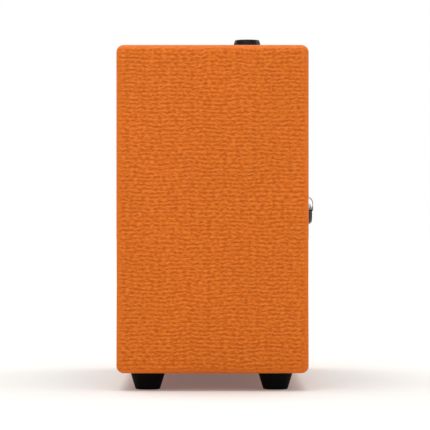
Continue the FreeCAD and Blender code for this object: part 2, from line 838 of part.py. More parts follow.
def input_jack():
    """A 6.35 mm jack socket: housing under the panel, plated bush, nut and two contact springs."""
    x = "dims.jack_x"
    housing_low = f"({PANEL_LOW} - 24)"
    bush_low = f"({PANEL_LOW} - 8)"
    housing = centred_box(
        "jack_housing_blank", (x, CONTROL_Y, f"({PANEL_LOW} - 12)"), ("17", "17", "24")
    )
    seat = cylinder("jack_seat", "4.75", "10", (x, CONTROL_Y, bush_low))
    chamber = centred_box(
        "jack_chamber", (x, CONTROL_Y, f"({PANEL_LOW} - 14.9)"), ("13.6", "9.6", "13.8")
    )
    part("input_jack_housing", cut("jack_housing_cut", housing, seat, chamber))
    bush = turned(
        "jack_bush_body",
        [
            ("3.2", "0"),
            ("4.75", "0"),
            ("4.75", "13.2"),
            ("4.35", "13.7"),
            ("3.5", "13.7"),
            ("3.2", "13.3"),
        ],
        (x, CONTROL_Y, bush_low),
    )
    part("input_jack_bush", bush)
    washer = cylinder("jack_washer", "7.4", "0.5", (x, CONTROL_Y, PANEL_TOP))
    nut = hexagon("jack_nut_hex", "12.7", "2.3", (x, CONTROL_Y, f"{PANEL_TOP} + 0.5"))
    bore = cylinder("jack_nut_bore", "4.75", "5", (x, CONTROL_Y, f"{PANEL_TOP} - 1"))
    part("input_jack_nut", cut("jack_nut_cut", fuse("jack_nut_fused", washer, nut), bore))
    springs = []
    for side in (-1, 1):
        flat = f"{side} * 5.8 + {x}"
        springs.append(
            centred_box(
                f"jack_spring_{'a' if side < 0 else 'b'}",
                (f"({flat})", CONTROL_Y, f"({housing_low} + 7.35)"),
                ("0.5", "4", "10.3"),
            )
        )
        springs[-1] = fuse(
            f"jack_contact_{'a' if side < 0 else 'b'}",
            springs[-1],
            centred_box(
                f"jack_foot_{'a' if side < 0 else 'b'}",
                (f"({x} + {side} * 4.7)", CONTROL_Y, f"({housing_low} + 10)"),
                ("2.4", "4", "0.5"),
            ),
        )
    group("input_jack_contacts", springs)


def power_switch():
    """A miniature toggle switch. The lever leans back, which is off."""
    x = "dims.switch_x"
    pivot = f"({PANEL_TOP} + 0.3)"
    case = centred_box(
        "switch_case", (x, CONTROL_Y, f"({PCB_TOP} + dims.pot_body / 2)"), ("8", "12", "dims.pot_body")
    )
    neck = cylinder("switch_neck", "3", "dims.panel_thick + 4.4", (x, CONTROL_Y, PANEL_LOW))
    bore = cylinder("switch_bore", "2.3", "20", (x, CONTROL_Y, f"{PANEL_LOW} - 3.4"))
    part(
        "power_switch_body",
        cut("switch_cut", fuse("switch_fused", case, neck), bore),
    )
    nut = hexagon("switch_nut_hex", "8", "1.8", (x, CONTROL_Y, PANEL_TOP))
    thread = cylinder("switch_nut_bore", "3", "4", (x, CONTROL_Y, f"{PANEL_TOP} - 1"))
    part("power_switch_nut", cut("switch_nut_cut", nut, thread))
    lever = turned(
        "switch_lever_body",
        [
            ("0", "-3"),
            ("0.9", "-3"),
            ("0.9", "-sqrt(2.1 ^ 2 - 0.9 ^ 2)"),
            ("2.1", "0", "2.1"),
            ("0.95", "sqrt(2.1 ^ 2 - 0.95 ^ 2)", "2.1"),
            ("1.5", "7.6"),
            ("0", "9.1", "1.5"),
        ],
        (x, CONTROL_Y, pivot),
    )
    lever.Placement.Rotation = Rotation(Vector(-1, 0, 0), number("dims.switch_tilt"))
    lever.setExpression("Placement.Rotation.Angle", "dims.switch_tilt")
    part("power_switch_lever", lever)


def power_lamp():
    """A 3 mm lamp on two leads."""
    x = "dims.lamp_x"
    lens = turned(
        "lamp_lens",
        [("0", "0"), ("1.9", "0"), ("1.9", "1"), ("1.5", "1"), ("1.5", "4.4"), ("0", "5.9", "1.5")],
        (x, CONTROL_Y, f"{PANEL_LOW} - 2.6"),
    )
    leads = [
        centred_box(
            f"lamp_lead_{i}",
            (f"({x} + {dx})", CONTROL_Y, f"({PCB_TOP} + ({PANEL_LOW} - 2.6 - {PCB_TOP}) / 2)"),
            ("0.5", "0.5", f"{PANEL_LOW} - 2.6 - {PCB_TOP}"),
        )
        for i, dx in enumerate((-0.9, 0.9))
    ]
    group("power_lamp", [lens, *leads])


def amplifier_chip():
    """The power stage and its two large capacitors, hanging under the circuit board."""
    chip = centred_box("chip_case", ("10", "1", f"({PCB_LOW} - 2)"), ("19", "8", "4"))
    cans = [
        cylinder(f"capacitor_{i}", "4", "9", (x, "0", PCB_LOW), DOWN)
        for i, x in enumerate(("30", "40"))
    ]
    group("amplifier_chip", [chip, *cans])


def speaker():
    """A 102 mm driver behind the baffle. Heights run forward from its mounting face."""
    at = ("0", BAFFLE_REAR, MIDDLE_Z)

    def driver_piece(label, points):
        body = turned(f"{label}_body", points, at, FORWARD)
        return part(label, body)

    driver_piece(
        "speaker_gasket",
        [("44.6", "0"), ("44.6", "-1.4"), ("dims.speaker_r", "-1.4"), ("dims.speaker_r", "0")],
    )
    basket = turned(
        "basket_turned",
        [
            ("44.8", "-2"),
            ("44.8", "-3.2"),
            ("26.2", "-18.4"),
            ("23.4", "-18.4"),
            ("20", "-25"),
            ("12.5", "-25"),
            ("12.5", "-26.2"),
            ("21", "-26.2"),
            ("24.4", "-19.6"),
            ("27", "-19.6"),
            ("45.3", "-4"),
            ("45.3", "-3.2"),
            ("dims.speaker_r", "-3.2"),
            ("dims.speaker_r", "-2"),
        ],
        at,
        FORWARD,
    )
    windows = []
    for i in range(6):
        opening = doc.addObject("Part::Box", f"basket_window_{i}")
        opening.setExpression("Length", "16")
        opening.setExpression("Width", "20")
        opening.setExpression("Height", "8.6")
        turn = FORWARD.multiply(Rotation(Vector(0, 0, 1), 60 * i))
        slot = Placement(Vector(), turn).multVec(Vector(26.5, -10, -17.6))
        opening.Placement = Placement(slot, turn)
        for axis, offset in zip("yz", (slot.y, slot.z)):
            base = {"y": BAFFLE_REAR, "z": MIDDLE_Z}[axis]
            opening.setExpression(f"Placement.Base.{axis}", f"{base} + {offset:.6f}")
        windows.append(opening)
    fixing = [
        cylinder(
            f"flange_hole_{i}", "dims.speaker_screw_r", "8", (x, f"{BAFFLE_REAR} - 1", z), BACKWARD
        )
        for i, (x, z) in enumerate(speaker_screw_places())
    ]
    gasket = parts.pop("speaker_gasket")
    part("speaker_gasket", cut("gasket_cut", gasket, *fixing))
    gasket.Label = "gasket_ring"
    tab = box(
        "terminal_tab",
        ("-8", "8"),
        (f"{BAFFLE_REAR} + 21.4", f"{BAFFLE_REAR} + 22.9"),
        (f"{MIDDLE_Z} + 22.3", f"{MIDDLE_Z} + 34"),
    )
    part(
        "speaker_basket",
        fuse("basket_with_tab", cut("basket_cut", basket, *windows, *fixing), tab),
    )
    driver_piece(
        "speaker_surround",
        [
            ("36.6", "-2"),
            ("37.8", "-2"),
            ("43.8", "-2", "-3.4"),
            ("44.6", "-2"),
            ("46.5", "-2"),
            ("46.5", "-1.4"),
            ("44", "-1.4"),
            ("37.6", "-1.4", "3.6"),
            ("36.6", "-1.4"),
        ],
    )
    driver_piece(
        "speaker_cone",
        [
            ("36.6", "-2"),
            ("36.6", "-1.4"),
            ("35.6", "-1.4"),
            ("10.6", "-18.2", "60"),
            ("10.6", "-18.9"),
            ("36.2", "-2", "-61"),
        ],
    )
    rise = "5.4"
    driver_piece(
        "speaker_dust_cap",
        [
            ("14.2", "-14.05", f"-(14.2 ^ 2 + {rise} ^ 2) / (2 * {rise})"),
            ("14.7", "-14.05"),
            ("0", "-14.05 + 5.9", "(14.7 ^ 2 + 5.9 ^ 2) / (2 * 5.9)"),
            ("0", f"-14.05 + {rise}"),
        ],
    )
    spider = [("10.6", "-19.5")]
    step = 1.575
    for i in range(8):
        spider.append((f"{10.6 + step * (i + 0.5):.2f}", "-18.9" if i % 2 else "-20.1"))
    spider += [("23.4", "-18.4"), ("26.2", "-18.4")]
    back = [(r, f"{z} + 0.4") for r, z in reversed(spider)]
    driver_piece("speaker_spider", [(r, z) for r, z in spider] + back)
    driver_piece(
        "voice_coil",
        [
            ("dims.coil_r - 0.15", "-18.2"),
            ("dims.coil_r - 0.15", "-35"),
            ("dims.coil_r + 0.35", "-35"),
            ("dims.coil_r + 0.35", "-27.2"),
            ("dims.coil_r + 0.1", "-27.2"),
            ("dims.coil_r + 0.1", "-20.4"),
            ("dims.coil_r + 0.6", "-20.4"),
            ("dims.coil_r + 0.6", "-18.2"),
        ],
    )
    plate_low, magnet_low = "-30.2", "(-30.2 - dims.magnet_thick)"
    driver_piece(
        "magnet_front_plate",
        [("dims.coil_r + 0.8", "-26.2"), ("dims.coil_r + 0.8", plate_low), ("27", plate_low), ("27", "-26.2")],
    )
    driver_piece(
        "speaker_magnet",
        [("15", plate_low), ("15", magnet_low), ("dims.magnet_r", magnet_low), ("dims.magnet_r", plate_low)],
    )
    driver_piece(
        "magnet_pole",
        [
            ("0", f"{magnet_low} - 4"),
            ("27", f"{magnet_low} - 4"),
            ("27", magnet_low),
            ("dims.coil_r - 0.6", magnet_low),
            ("dims.coil_r - 0.6", "-26.0"),
            ("0", "-26.0"),
        ],
    )
    group(
        "speaker_screws",
        [
            screw(f"speaker_screw_{i}", "dims.speaker_screw_r", "8", (x, f"{BAFFLE_REAR} + 3.2", z), BACKWARD)
            for i, (x, z) in enumerate(speaker_screw_places())
        ],
    )


TRAY_OUT_X = "(dims.pocket_long / 2 + dims.tray_wall)"
TRAY_OUT_Z = "(dims.pocket_tall / 2 + dims.tray_wall)"
LID_SEAT = f"({PANEL_OUT} - dims.lid_thick)"
FLOOR = f"({LID_SEAT} - dims.pocket_deep)"
RIM = "2.8"
HINGE_Y = f"({PANEL_OUT} - dims.lid_thick / 2)"
HINGE_Z = "(dims.tray_z - dims.pocket_tall / 2 - 1 + dims.fit_gap + dims.lid_thick / 2)"
LID_HALF = "(dims.pocket_long / 2 + 1 - dims.fit_gap)"


def centred(half_x, y, half_z, name):
    return box(
        name, (f"-({half_x})", half_x), y, (f"dims.tray_z - ({half_z})", f"dims.tray_z + ({half_z})")
    )


def battery_bay():
    """A tray let into the back panel, the battery in it, and a lid hinged on its lower edge."""
    tub = centred(TRAY_OUT_X, (f"{FLOOR} - dims.tray_wall", PANEL_IN), TRAY_OUT_Z, "tray_tub")
    flange = centred(
        f"{TRAY_OUT_X} + 4.2", (f"{PANEL_IN} - 1.2", PANEL_IN), f"{TRAY_OUT_Z} + 4.2", "tray_flange"
    )
    rim = centred(
        f"dims.pocket_long / 2 + {RIM}", (PANEL_IN, PANEL_OUT), f"dims.pocket_tall / 2 + {RIM}", "tray_rim"
    )
    pocket = centred("dims.pocket_long / 2", (FLOOR, f"{PANEL_OUT} + 1"), "dims.pocket_tall / 2", "pocket")
    seat = centred(
        "dims.pocket_long / 2 + 1", (LID_SEAT, f"{PANEL_OUT} + 1"), "dims.pocket_tall / 2 + 1", "lid_seat"
    )
    sockets = cylinder(
        "hinge_sockets",
        "dims.hinge_bore_r",
        "dims.pocket_long + 5",
        ("-dims.pocket_long / 2 - 2.5", HINGE_Y, HINGE_Z),
        ALONG_X,
    )
    nail = box(
        "nail_notch",
        ("-6", "6"),
        (f"{PANEL_OUT} - 1.4", f"{PANEL_OUT} + 1"),
        ("dims.tray_z + dims.pocket_tall / 2", "dims.tray_z + dims.pocket_tall / 2 + 2.2"),
    )
    wire_slot = box(
        "wire_slot",
        ("dims.pocket_long / 2 - 1", f"{TRAY_OUT_X} + 1"),
        (f"{FLOOR} + 8.6", f"{FLOOR} + 14.6"),
        ("dims.tray_z + 4", "dims.tray_z + 8"),
    )
    part(
        "battery_tray",
        cut("tray_cut", fuse("tray_fused", tub, flange, rim), pocket, seat, sockets, nail, wire_slot),
    )
    leaf = box(
        "lid_leaf",
        (f"-{LID_HALF}", LID_HALF),
        (LID_SEAT, PANEL_OUT),
        (HINGE_Z, "dims.tray_z + dims.pocket_tall / 2 + 1 - dims.fit_gap"),
    )
    barrel = cylinder(
        "lid_barrel", "dims.lid_thick / 2", f"2 * {LID_HALF}", (f"-{LID_HALF}", HINGE_Y, HINGE_Z), ALONG_X
    )
    pins = cylinder(
        "lid_pins",
        "dims.hinge_pin_r",
        f"2 * {LID_HALF} + 3.2",
        (f"-{LID_HALF} - 1.6", HINGE_Y, HINGE_Z),
        ALONG_X,
    )
    part("battery_lid", fuse("lid_fused", leaf, barrel, pins))
    battery_right = "(-dims.pocket_long / 2 + 0.4 + dims.battery_long)"
    case = box(
        "battery_case",
        ("-dims.pocket_long / 2 + 0.4", battery_right),
        (f"{FLOOR} + 0.2", f"{FLOOR} + 0.2 + dims.battery_thick"),
        ("dims.tray_z - dims.battery_tall / 2", "dims.tray_z + dims.battery_tall / 2"),
    )
    stud_y = f"({FLOOR} + 0.2 + dims.battery_thick / 2)"
    studs = [
        cylinder(
            f"battery_stud_{i}",
            r,
            "2.8",
            (f"{battery_right} - 0.5", stud_y, f"dims.tray_z + {dz}"),
            ALONG_X,
        )
        for i, (r, dz) in enumerate((("2.8", "6.35"), ("3.2", "-6.35")))
    ]
    part("battery", fuse("battery_fused", case, *studs))
    cap = box(
        "snap_blank",
        (f"{battery_right} + 0.2", f"{battery_right} + 4.7"),
        (f"{stud_y} - 6", f"{stud_y} + 6"),
        ("dims.tray_z - 12.6", "dims.tray_z + 12.6"),
    )
    sockets = [
        cylinder(
            f"snap_socket_{i}",
            r,
            "2.8",
            (f"{battery_right} + 0.1", stud_y, f"dims.tray_z + {dz}"),
            ALONG_X,
        )
        for i, (r, dz) in enumerate((("3.1", "6.35"), ("3.5", "-6.35")))
    ]
    part("battery_snap", cut("snap_cut", cap, *sockets))


def back_panel():
    inset = "(dims.vinyl + dims.fit_gap)"
    sheet_blank = front_rectangle("back_blank", inset, (PANEL_IN, PANEL_OUT))
    grow = f"{RIM} + 0.2"
    opening = centred(
        f"dims.pocket_long / 2 + {grow}",
        (f"{PANEL_IN} - 1", f"{PANEL_OUT} + 1"),
        f"dims.pocket_tall / 2 + {grow}",
        "bay_opening",
    )
    sockets = [
        cylinder(f"rear_hole_{i}", r, "dims.back_thick + 2", (x, f"{PANEL_IN} - 1", "dims.socket_z"), BACKWARD)
        for i, (x, r) in enumerate((("dims.inlet_x", "4"), ("dims.phones_x", "3"), ("dims.line_x", "3")))
    ]
    holes = [
        cylinder(
            f"back_hole_{i}",
            "dims.back_screw_r",
            "dims.back_thick + 2",
            (x, f"{PANEL_IN} - 1", z),
            BACKWARD,
        )
        for i, (x, z) in enumerate(back_screw_places())
    ]
    part("back_panel", cut("back_cut", sheet_blank, opening, *sockets, *holes))
    group(
        "back_panel_screws",
        [
            screw(f"back_screw_{i}", "dims.back_screw_r", "10", (x, PANEL_OUT, z), BACKWARD)
            for i, (x, z) in enumerate(back_screw_places())
        ],
    )


def rear_sockets():
    """A coaxial power inlet with its pin, and two 3.5 mm sockets, each with its ring nut."""
    at = ("dims.inlet_x", PANEL_OUT, "dims.socket_z")
    shell = turned(
        "inlet_shell",
        [
            ("2.85", "1.4"),
            ("5.4", "1.4"),
            ("5.4", "0"),
            ("4", "0"),
            ("4", "-12"),
            ("0", "-12"),
            ("0", "-10"),
            ("2.85", "-10"),
        ],
        at,
        BACKWARD,
    )
    pin = turned(
        "inlet_pin",
        [("0", "-10"), ("1", "-10"), ("1", "-0.9"), ("0.6", "-0.4"), ("0", "-0.4")],
        at,
        BACKWARD,
    )
    nut_blank = hexagon(
        "inlet_nut_hex", "11", "2", ("dims.inlet_x", f"{PANEL_IN} - 2", "dims.socket_z"), BACKWARD
    )
    nut_bore = cylinder(
        "inlet_nut_bore", "4", "4", ("dims.inlet_x", f"{PANEL_IN} - 3", "dims.socket_z"), BACKWARD
    )
    group("power_inlet", [shell, pin, cut("inlet_nut", nut_blank, nut_bore)])
    pieces = []
    for name, x in (("phones", "dims.phones_x"), ("line", "dims.line_x")):
        at = (x, PANEL_OUT, "dims.socket_z")
        barrel = turned(
            f"{name}_barrel",
            [
                ("1.8", "1.8"),
                ("3", "1.8"),
                ("3", "-3"),
                ("4.6", "-3"),
                ("4.6", "-14"),
                ("0", "-14"),
                ("0", "-13"),
                ("1.8", "-13"),
            ],
            at,
            BACKWARD,
        )
        ring = turned(
            f"{name}_ring_nut",
            [("3", "0"), ("4.2", "0"), ("4.2", "1.2"), ("3.9", "1.5"), ("3", "1.5")],
            at,
            BACKWARD,
        )
        pieces += [barrel, ring]
    group("audio_sockets", pieces)


def lead(name, points, radius):
    """A tube along straight runs joined by tangent arcs, each as large as its runs allow."""
    path = [Vector(*(number(c) for c in p)) for p in points]
    edges, start = [], path[0]
    for before, corner, after in zip(path, path[1:], path[2:]):
        arriving, leaving = corner - before, after - corner
        turn = arriving.getAngle(leaving)
        reach = 0.45 * min(arriving.Length, leaving.Length)
        first = corner - arriving.normalize() * reach
        last = corner + leaving.normalize() * reach
        bisector = (first + last) / 2 - corner
        bend = reach / math.tan(turn / 2)
        centre = corner + bisector.normalize() * math.hypot(reach, bend)
        middle = centre + (corner - centre).normalize() * bend
        edges.append(Part.LineSegment(start, first).toShape())
        edges.append(Part.Arc(first, middle, last).toShape())
        start = last
    edges.append(Part.LineSegment(start, path[-1]).toShape())
    wire = Part.Wire(edges)
    ring = Part.Wire([Part.Circle(path[0], path[1] - path[0], radius).toShape()])
    solid = wire.makePipeShell([ring], True, False)
    length = sum(edge.Length for edge in edges)
    short = abs(solid.Volume / (math.pi * radius**2 * length) - 1)
    if short > 0.01:
        raise RuntimeError(f"lead {name} has the wrong volume")
    made = doc.addObject("Part::Feature", name)
    made.Shape = solid
    return made


def wiring():
    """Pairs of leads from the circuit board to the speaker, battery, power inlet and sockets."""
    leads = []
    board = f"{PCB_LOW}"
    for i, dx in enumerate((-2.2, 2.2)):
        tab = (f"{dx * 2}", f"{BAFFLE_REAR} + 24", f"{MIDDLE_Z} + 30")
        leads.append(
            lead(
                f"speaker_lead_{i}",
                [
                    (tab[0], f"{BAFFLE_REAR} + 22.9", tab[2]),
                    (tab[0], f"{BAFFLE_REAR} + 31", tab[2]),
                    (f"{dx * 1.6}", f"{BAFFLE_REAR} + 33.5", f"{MIDDLE_Z} + 38"),
                    (f"{dx - 6}", f"{BAFFLE_REAR} + 32", f"{MIDDLE_Z} + 44"),
                    (f"{dx - 6}", f"{BAFFLE_REAR} + 32", board),
                ],
                0.8,
            )
        )
    for i, dy in enumerate((0.0, 3.0)):
        y = f"{FLOOR} + {10.1 + dy}"
        leads.append(
            lead(
                f"battery_lead_{i}",
                [
                    ("22.6", y, "dims.tray_z + 6"),
                    ("34", y, "dims.tray_z + 6"),
                    ("43", f"{y} - 3", "dims.tray_z + 14"),
                    ("45", f"{y} - 8", "dims.tray_z + 40"),
                    ("44", f"{y} - 16", "dims.tray_z + 64"),
                    ("48", f"{3.4 + dy}", "dims.tray_z + 78"),
                    ("48", f"{3.4 + dy}", board),
                ],
                0.8,
            )
        )
    return leads


def socket_leads():
    """Leads of the power inlet and the two audio sockets, up to the board's rear edge."""
    leads = []
    for name, x, end_x, depth in (
        ("inlet", "dims.inlet_x", "-30", 12),
        ("phones", "dims.phones_x", "-16", 14),
        ("line", "dims.line_x", "-4", 14),
    ):
        leads.append(
            lead(
                f"{name}_lead",
                [
                    (x, f"{PANEL_OUT} - {depth}", "dims.socket_z"),
                    (x, f"{PANEL_OUT} - {depth} - 8", "dims.socket_z"),
                    (f"({x} + {end_x}) / 2", "12", "dims.socket_z + 1.5"),
                    (end_x, "5.5", f"{PCB_LOW} - 4"),
                    (end_x, "5.5", PCB_LOW),
                ],
                0.8,
            )
        )
    return leads


def build():
    hollow = cabinet_boards()
    vinyl_covering(hollow)
    glue_blocks()
    baffle_and_grille()
    piping()
    badge()
    feet()
    control_panel()
    nuts = [
        rotary_control(name, f"dims.{name}_x") for name in ("gain", "tone", "volume")
    ]
    group("pot_nuts", nuts)
    input_jack()
    power_switch()
    power_lamp()
    amplifier_chip()
    speaker()
    battery_bay()
    back_panel()
    rear_sockets()
    group("wiring", wiring() + socket_leads())


def check_and_write():
    doc.recompute()
    doc.removeObject(reading.Name)
    faults = [
        f"{made.Name}: {made.State}"
        for made in doc.Objects
        if {"Invalid", "Error"} & set(made.State)
    ]
    for label, made in parts.items():
        shape = made.Shape
        if shape.isNull() or not shape.isValid() or shape.Volume <= 0 or not shape.Solids:
            faults.append(f"{label}: no valid solid")
    if faults:
        raise RuntimeError("; ".join(faults))
    os.makedirs("parts", exist_ok=True)
    for label, made in sorted(parts.items()):
        made.Shape.exportStep(f"parts/{label}.step")
        print(f"{label}: {len(made.Shape.Solids)} solid(s), {made.Shape.Volume / 1000:.2f} cm3")
    print(len(parts), "parts")


build()
check_and_write()
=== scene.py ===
import math

import bmesh
import bpy
import numpy as np
from mathutils import Matrix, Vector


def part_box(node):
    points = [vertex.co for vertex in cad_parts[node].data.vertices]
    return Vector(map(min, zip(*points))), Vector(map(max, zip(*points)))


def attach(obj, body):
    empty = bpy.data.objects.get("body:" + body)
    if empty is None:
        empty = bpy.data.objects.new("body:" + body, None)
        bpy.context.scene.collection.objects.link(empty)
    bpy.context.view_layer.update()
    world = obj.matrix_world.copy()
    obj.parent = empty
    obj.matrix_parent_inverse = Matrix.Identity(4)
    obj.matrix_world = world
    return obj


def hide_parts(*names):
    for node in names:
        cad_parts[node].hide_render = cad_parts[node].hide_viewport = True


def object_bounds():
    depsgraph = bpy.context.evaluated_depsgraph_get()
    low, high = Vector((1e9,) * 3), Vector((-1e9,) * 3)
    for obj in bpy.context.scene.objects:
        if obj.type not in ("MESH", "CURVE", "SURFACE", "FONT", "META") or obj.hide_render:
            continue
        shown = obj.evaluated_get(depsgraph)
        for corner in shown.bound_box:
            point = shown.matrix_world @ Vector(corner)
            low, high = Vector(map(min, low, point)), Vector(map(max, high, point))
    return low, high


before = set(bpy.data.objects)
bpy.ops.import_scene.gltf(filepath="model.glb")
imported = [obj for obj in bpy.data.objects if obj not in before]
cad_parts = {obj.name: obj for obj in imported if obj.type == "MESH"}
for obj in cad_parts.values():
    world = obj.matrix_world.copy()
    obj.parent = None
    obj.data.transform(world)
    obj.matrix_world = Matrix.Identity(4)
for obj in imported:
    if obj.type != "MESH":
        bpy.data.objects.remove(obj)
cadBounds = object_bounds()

print("frame loaded:", len(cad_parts), "nodes")

mm = 0.001
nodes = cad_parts


def corners(node):
    # lowest and highest corner of a CAD node, as arrays
    low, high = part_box(node)
    return np.array(low), np.array(high)


def sheetOf(points, uv, keep=None):
    return {"points": np.asarray(points, float), "uv": np.asarray(uv, float), "keep": keep}


def meshOf(name, sheets, attributes=None, sharp=40):
    # joins grids of points into one mesh: each cell of a grid is a quad, and grids that touch are merged
    places, quads, uvs, start = [], [], [], 0
    for sheet in sheets:
        rows, columns = sheet["points"].shape[:2]
        index = start + np.arange(rows * columns).reshape(rows, columns)
        cells = np.stack([index[:-1, :-1], index[:-1, 1:], index[1:, 1:], index[1:, :-1]], -1)
        cells = cells.reshape(-1, 4)
        if sheet["keep"] is not None:
            cells = cells[sheet["keep"].reshape(-1)]
        places.append(sheet["points"].reshape(-1, 3))
        uvs.append(sheet["uv"].reshape(-1, 2))
        quads.append(cells)
        start += rows * columns
    places, uvs, quads = map(np.concatenate, (places, uvs, quads))
    mesh = bpy.data.meshes.new(name)
    mesh.vertices.add(len(places))
    mesh.vertices.foreach_set("co", places.ravel())
    mesh.loops.add(quads.size)
    mesh.loops.foreach_set("vertex_index", quads.ravel())
    mesh.polygons.add(len(quads))
    mesh.polygons.foreach_set("loop_start", np.arange(0, quads.size, 4))
    mesh.update(calc_edges=True)
    mesh.uv_layers.new(name="cut").data.foreach_set("uv", uvs[quads.ravel()].ravel())
    for title, values in (attributes or {}).items():
        layer = mesh.attributes.new(title, "FLOAT", "POINT")
        layer.data.foreach_set("value", np.asarray(values, float).ravel())
    work = bmesh.new()
    work.from_mesh(mesh)
    bmesh.ops.remove_doubles(work, verts=work.verts, dist=2e-6)
    bmesh.ops.dissolve_degenerate(work, edges=work.edges, dist=1e-6)
    work.to_mesh(mesh)
    work.free()
    mesh.polygons.foreach_set("use_smooth", np.ones(len(mesh.polygons), bool))
    mesh.set_sharp_from_angle(angle=math.radians(sharp))
    return mesh


def addPiece(name, mesh, body, material, replaces=(), wall=None):
    piece = bpy.data.objects.new(name, mesh)
    bpy.context.scene.collection.objects.link(piece)
    mesh.materials.append(material)
    if wall:
        thick = piece.modifiers.new("wall", "SOLIDIFY")
        thick.thickness = wall
        thick.offset = -1
    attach(piece, body)
    if replaces:
        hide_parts(*replaces)
    return piece


def roundedPath(stops, steps=6):
    # a path through corners (a, b, round): each corner gives way to a curve that starts and ends
    # its round away from it, a parabola between the two straight runs
    stops = [(*stop, 0.0)[:3] for stop in stops]
    made = [np.array([stops[0][:2]])]
    for before, here, after in zip(stops, stops[1:], stops[2:]):
        middle = np.array(here[:2])
        if not here[2]:
            made.append(middle[None])
            continue
        back, ahead = np.array(before[:2]) - middle, np.array(after[:2]) - middle
        first = middle + back / np.linalg.norm(back) * here[2]
        last = middle + ahead / np.linalg.norm(ahead) * here[2]
        t = np.linspace(0, 1, steps + 1)[:, None]
        made.append((1 - t) ** 2 * first + 2 * t * (1 - t) * middle + t ** 2 * last)
    made.append(np.array([stops[-1][:2]]))
    return np.concatenate(made)


def lengthsAlong(path):
    return np.concatenate([[0], np.cumsum(np.linalg.norm(np.diff(path, axis=0), axis=1))])


def latheSheet(path, centre, around=96, flute=None):
    # turns a path of (radius, height) about the vertical through centre; flute(angle, radius, height)
    # is what it takes off the radius
    angle = np.linspace(0, 2 * np.pi, around + 1)
    radius, height = path[:, :1], path[:, 1:]
    reach = radius - (flute(angle[None], radius, height) if flute else 0)
    points = np.stack([
        centre[0] + reach * np.cos(angle),
        centre[1] + reach * np.sin(angle),
        centre[2] + height + 0 * angle,
    ], -1)
    uv = np.stack(np.broadcast_arrays(angle[None] * path[:, 0].max(), lengthsAlong(path)[:, None]), -1)
    return sheetOf(points, uv)


def linear(hexText, alpha=1.0):
    # sRGB hex to the linear values that shaders use
    parts = [int(hexText[i:i + 2], 16) / 255 for i in (1, 3, 5)]
    return (*[c / 12.92 if c <= 0.04045 else ((c + 0.055) / 1.055) ** 2.4 for c in parts], alpha)


def addNode(tree, kind, settings=None, inputs=None):
    # one shader node: its settings, and each input set to a value or linked to an output
    node = tree.nodes.new("ShaderNode" + kind)
    for key, value in (settings or {}).items():
        setattr(node, key, value)
    for key, value in (inputs or {}).items():
        socket = node.inputs[key]
        if isinstance(value, bpy.types.Node):
            value = value.outputs[0]
        if isinstance(value, bpy.types.NodeSocket):
            tree.links.new(value, socket)
        else:
            socket.default_value = linear(value) if isinstance(value, str) else value
    return node


def newMaterial(name, **surface):
    # a Principled material: surface holds uniform values, named as sockets with underscores for spaces
    material = bpy.data.materials.new(name)
    material.use_nodes = True
    tree = material.node_tree
    shader = tree.nodes["Principled BSDF"]
    for key, value in surface.items():
        shader.inputs[key.replace("_", " ")].default_value = linear(value) if isinstance(value, str) else value
    return material, tree, shader


def blendColours(tree, amount, colours):
    # a ramp through (position, hex) stops
    ramp = addNode(tree, "ValToRGB", {}, {"Fac": amount})
    band = ramp.color_ramp
    while len(band.elements) < len(colours):
        band.elements.new(0.5)
    for element, (position, colour) in zip(band.elements, colours):
        element.position = position
        element.color = linear(colour)
    return ramp


def spread(tree, value, low, high):
    # takes a 0 to 1 value to the range low to high
    return addNode(tree, "MapRange", {}, {"Value": value, "To Min": low, "To Max": high})


def flatNoise(tree, place, scale, detail=1.0):
    return addNode(tree, "TexNoise", {"noise_dimensions": "2D"}, {
        "Vector": place, "Scale": scale, "Detail": detail,
    }).outputs["Fac"]


def mathNode(tree, operation, a, b=0.0, c=0.0):
    return addNode(tree, "Math", {"operation": operation}, {0: a, 1: b, 2: c})


def mixedFinish(name, colours, patch, rough, grain, relief, stretch=(1, 1, 1), metallic=0.0, **surface):
    # a solid material with slow patches of colour and sheen, and a fine grain in relief.
    # patch and grain are sizes in mm, and relief is the grain's height in mm
    material, tree, shader = newMaterial(name, Metallic=metallic, **surface)
    place = addNode(tree, "TexCoord").outputs["Object"]
    place = addNode(tree, "Mapping", {}, {"Vector": place, "Scale": stretch})
    slow = addNode(tree, "TexNoise", {}, {"Vector": place, "Scale": 1000 / patch, "Detail": 4.0})
    fine = addNode(tree, "TexNoise", {}, {"Vector": place, "Scale": 1000 / grain, "Detail": 3.0})
    both = addNode(tree, "Mix", {}, {"Factor": 0.4, "A": slow.outputs["Fac"], "B": fine.outputs["Fac"]})
    ramp = blendColours(tree, both, list(zip(np.linspace(0.34, 0.66, len(colours)), colours)))
    tree.links.new(ramp.outputs["Color"], shader.inputs["Base Color"])
    sheen = spread(tree, slow.outputs["Fac"], rough[0], rough[1])
    tree.links.new(sheen.outputs[0], shader.inputs["Roughness"])
    bump = addNode(tree, "Bump", {}, {"Height": fine.outputs["Fac"], "Strength": 1.0, "Distance": relief * mm})
    tree.links.new(bump.outputs[0], shader.inputs["Normal"])
    return material


studio = {
    "cameraBack": 0.950,  # lens to the near side of the cabinet, m
    "cameraY": 0.0010,
    "cameraZ": 0.0714,
    "lens": 196.7,
    "floor": ("#dddcda", "#fbfbfa"),  # near the object and far off
    "horizon": 0.16,
    "zenith": 1.5,
}


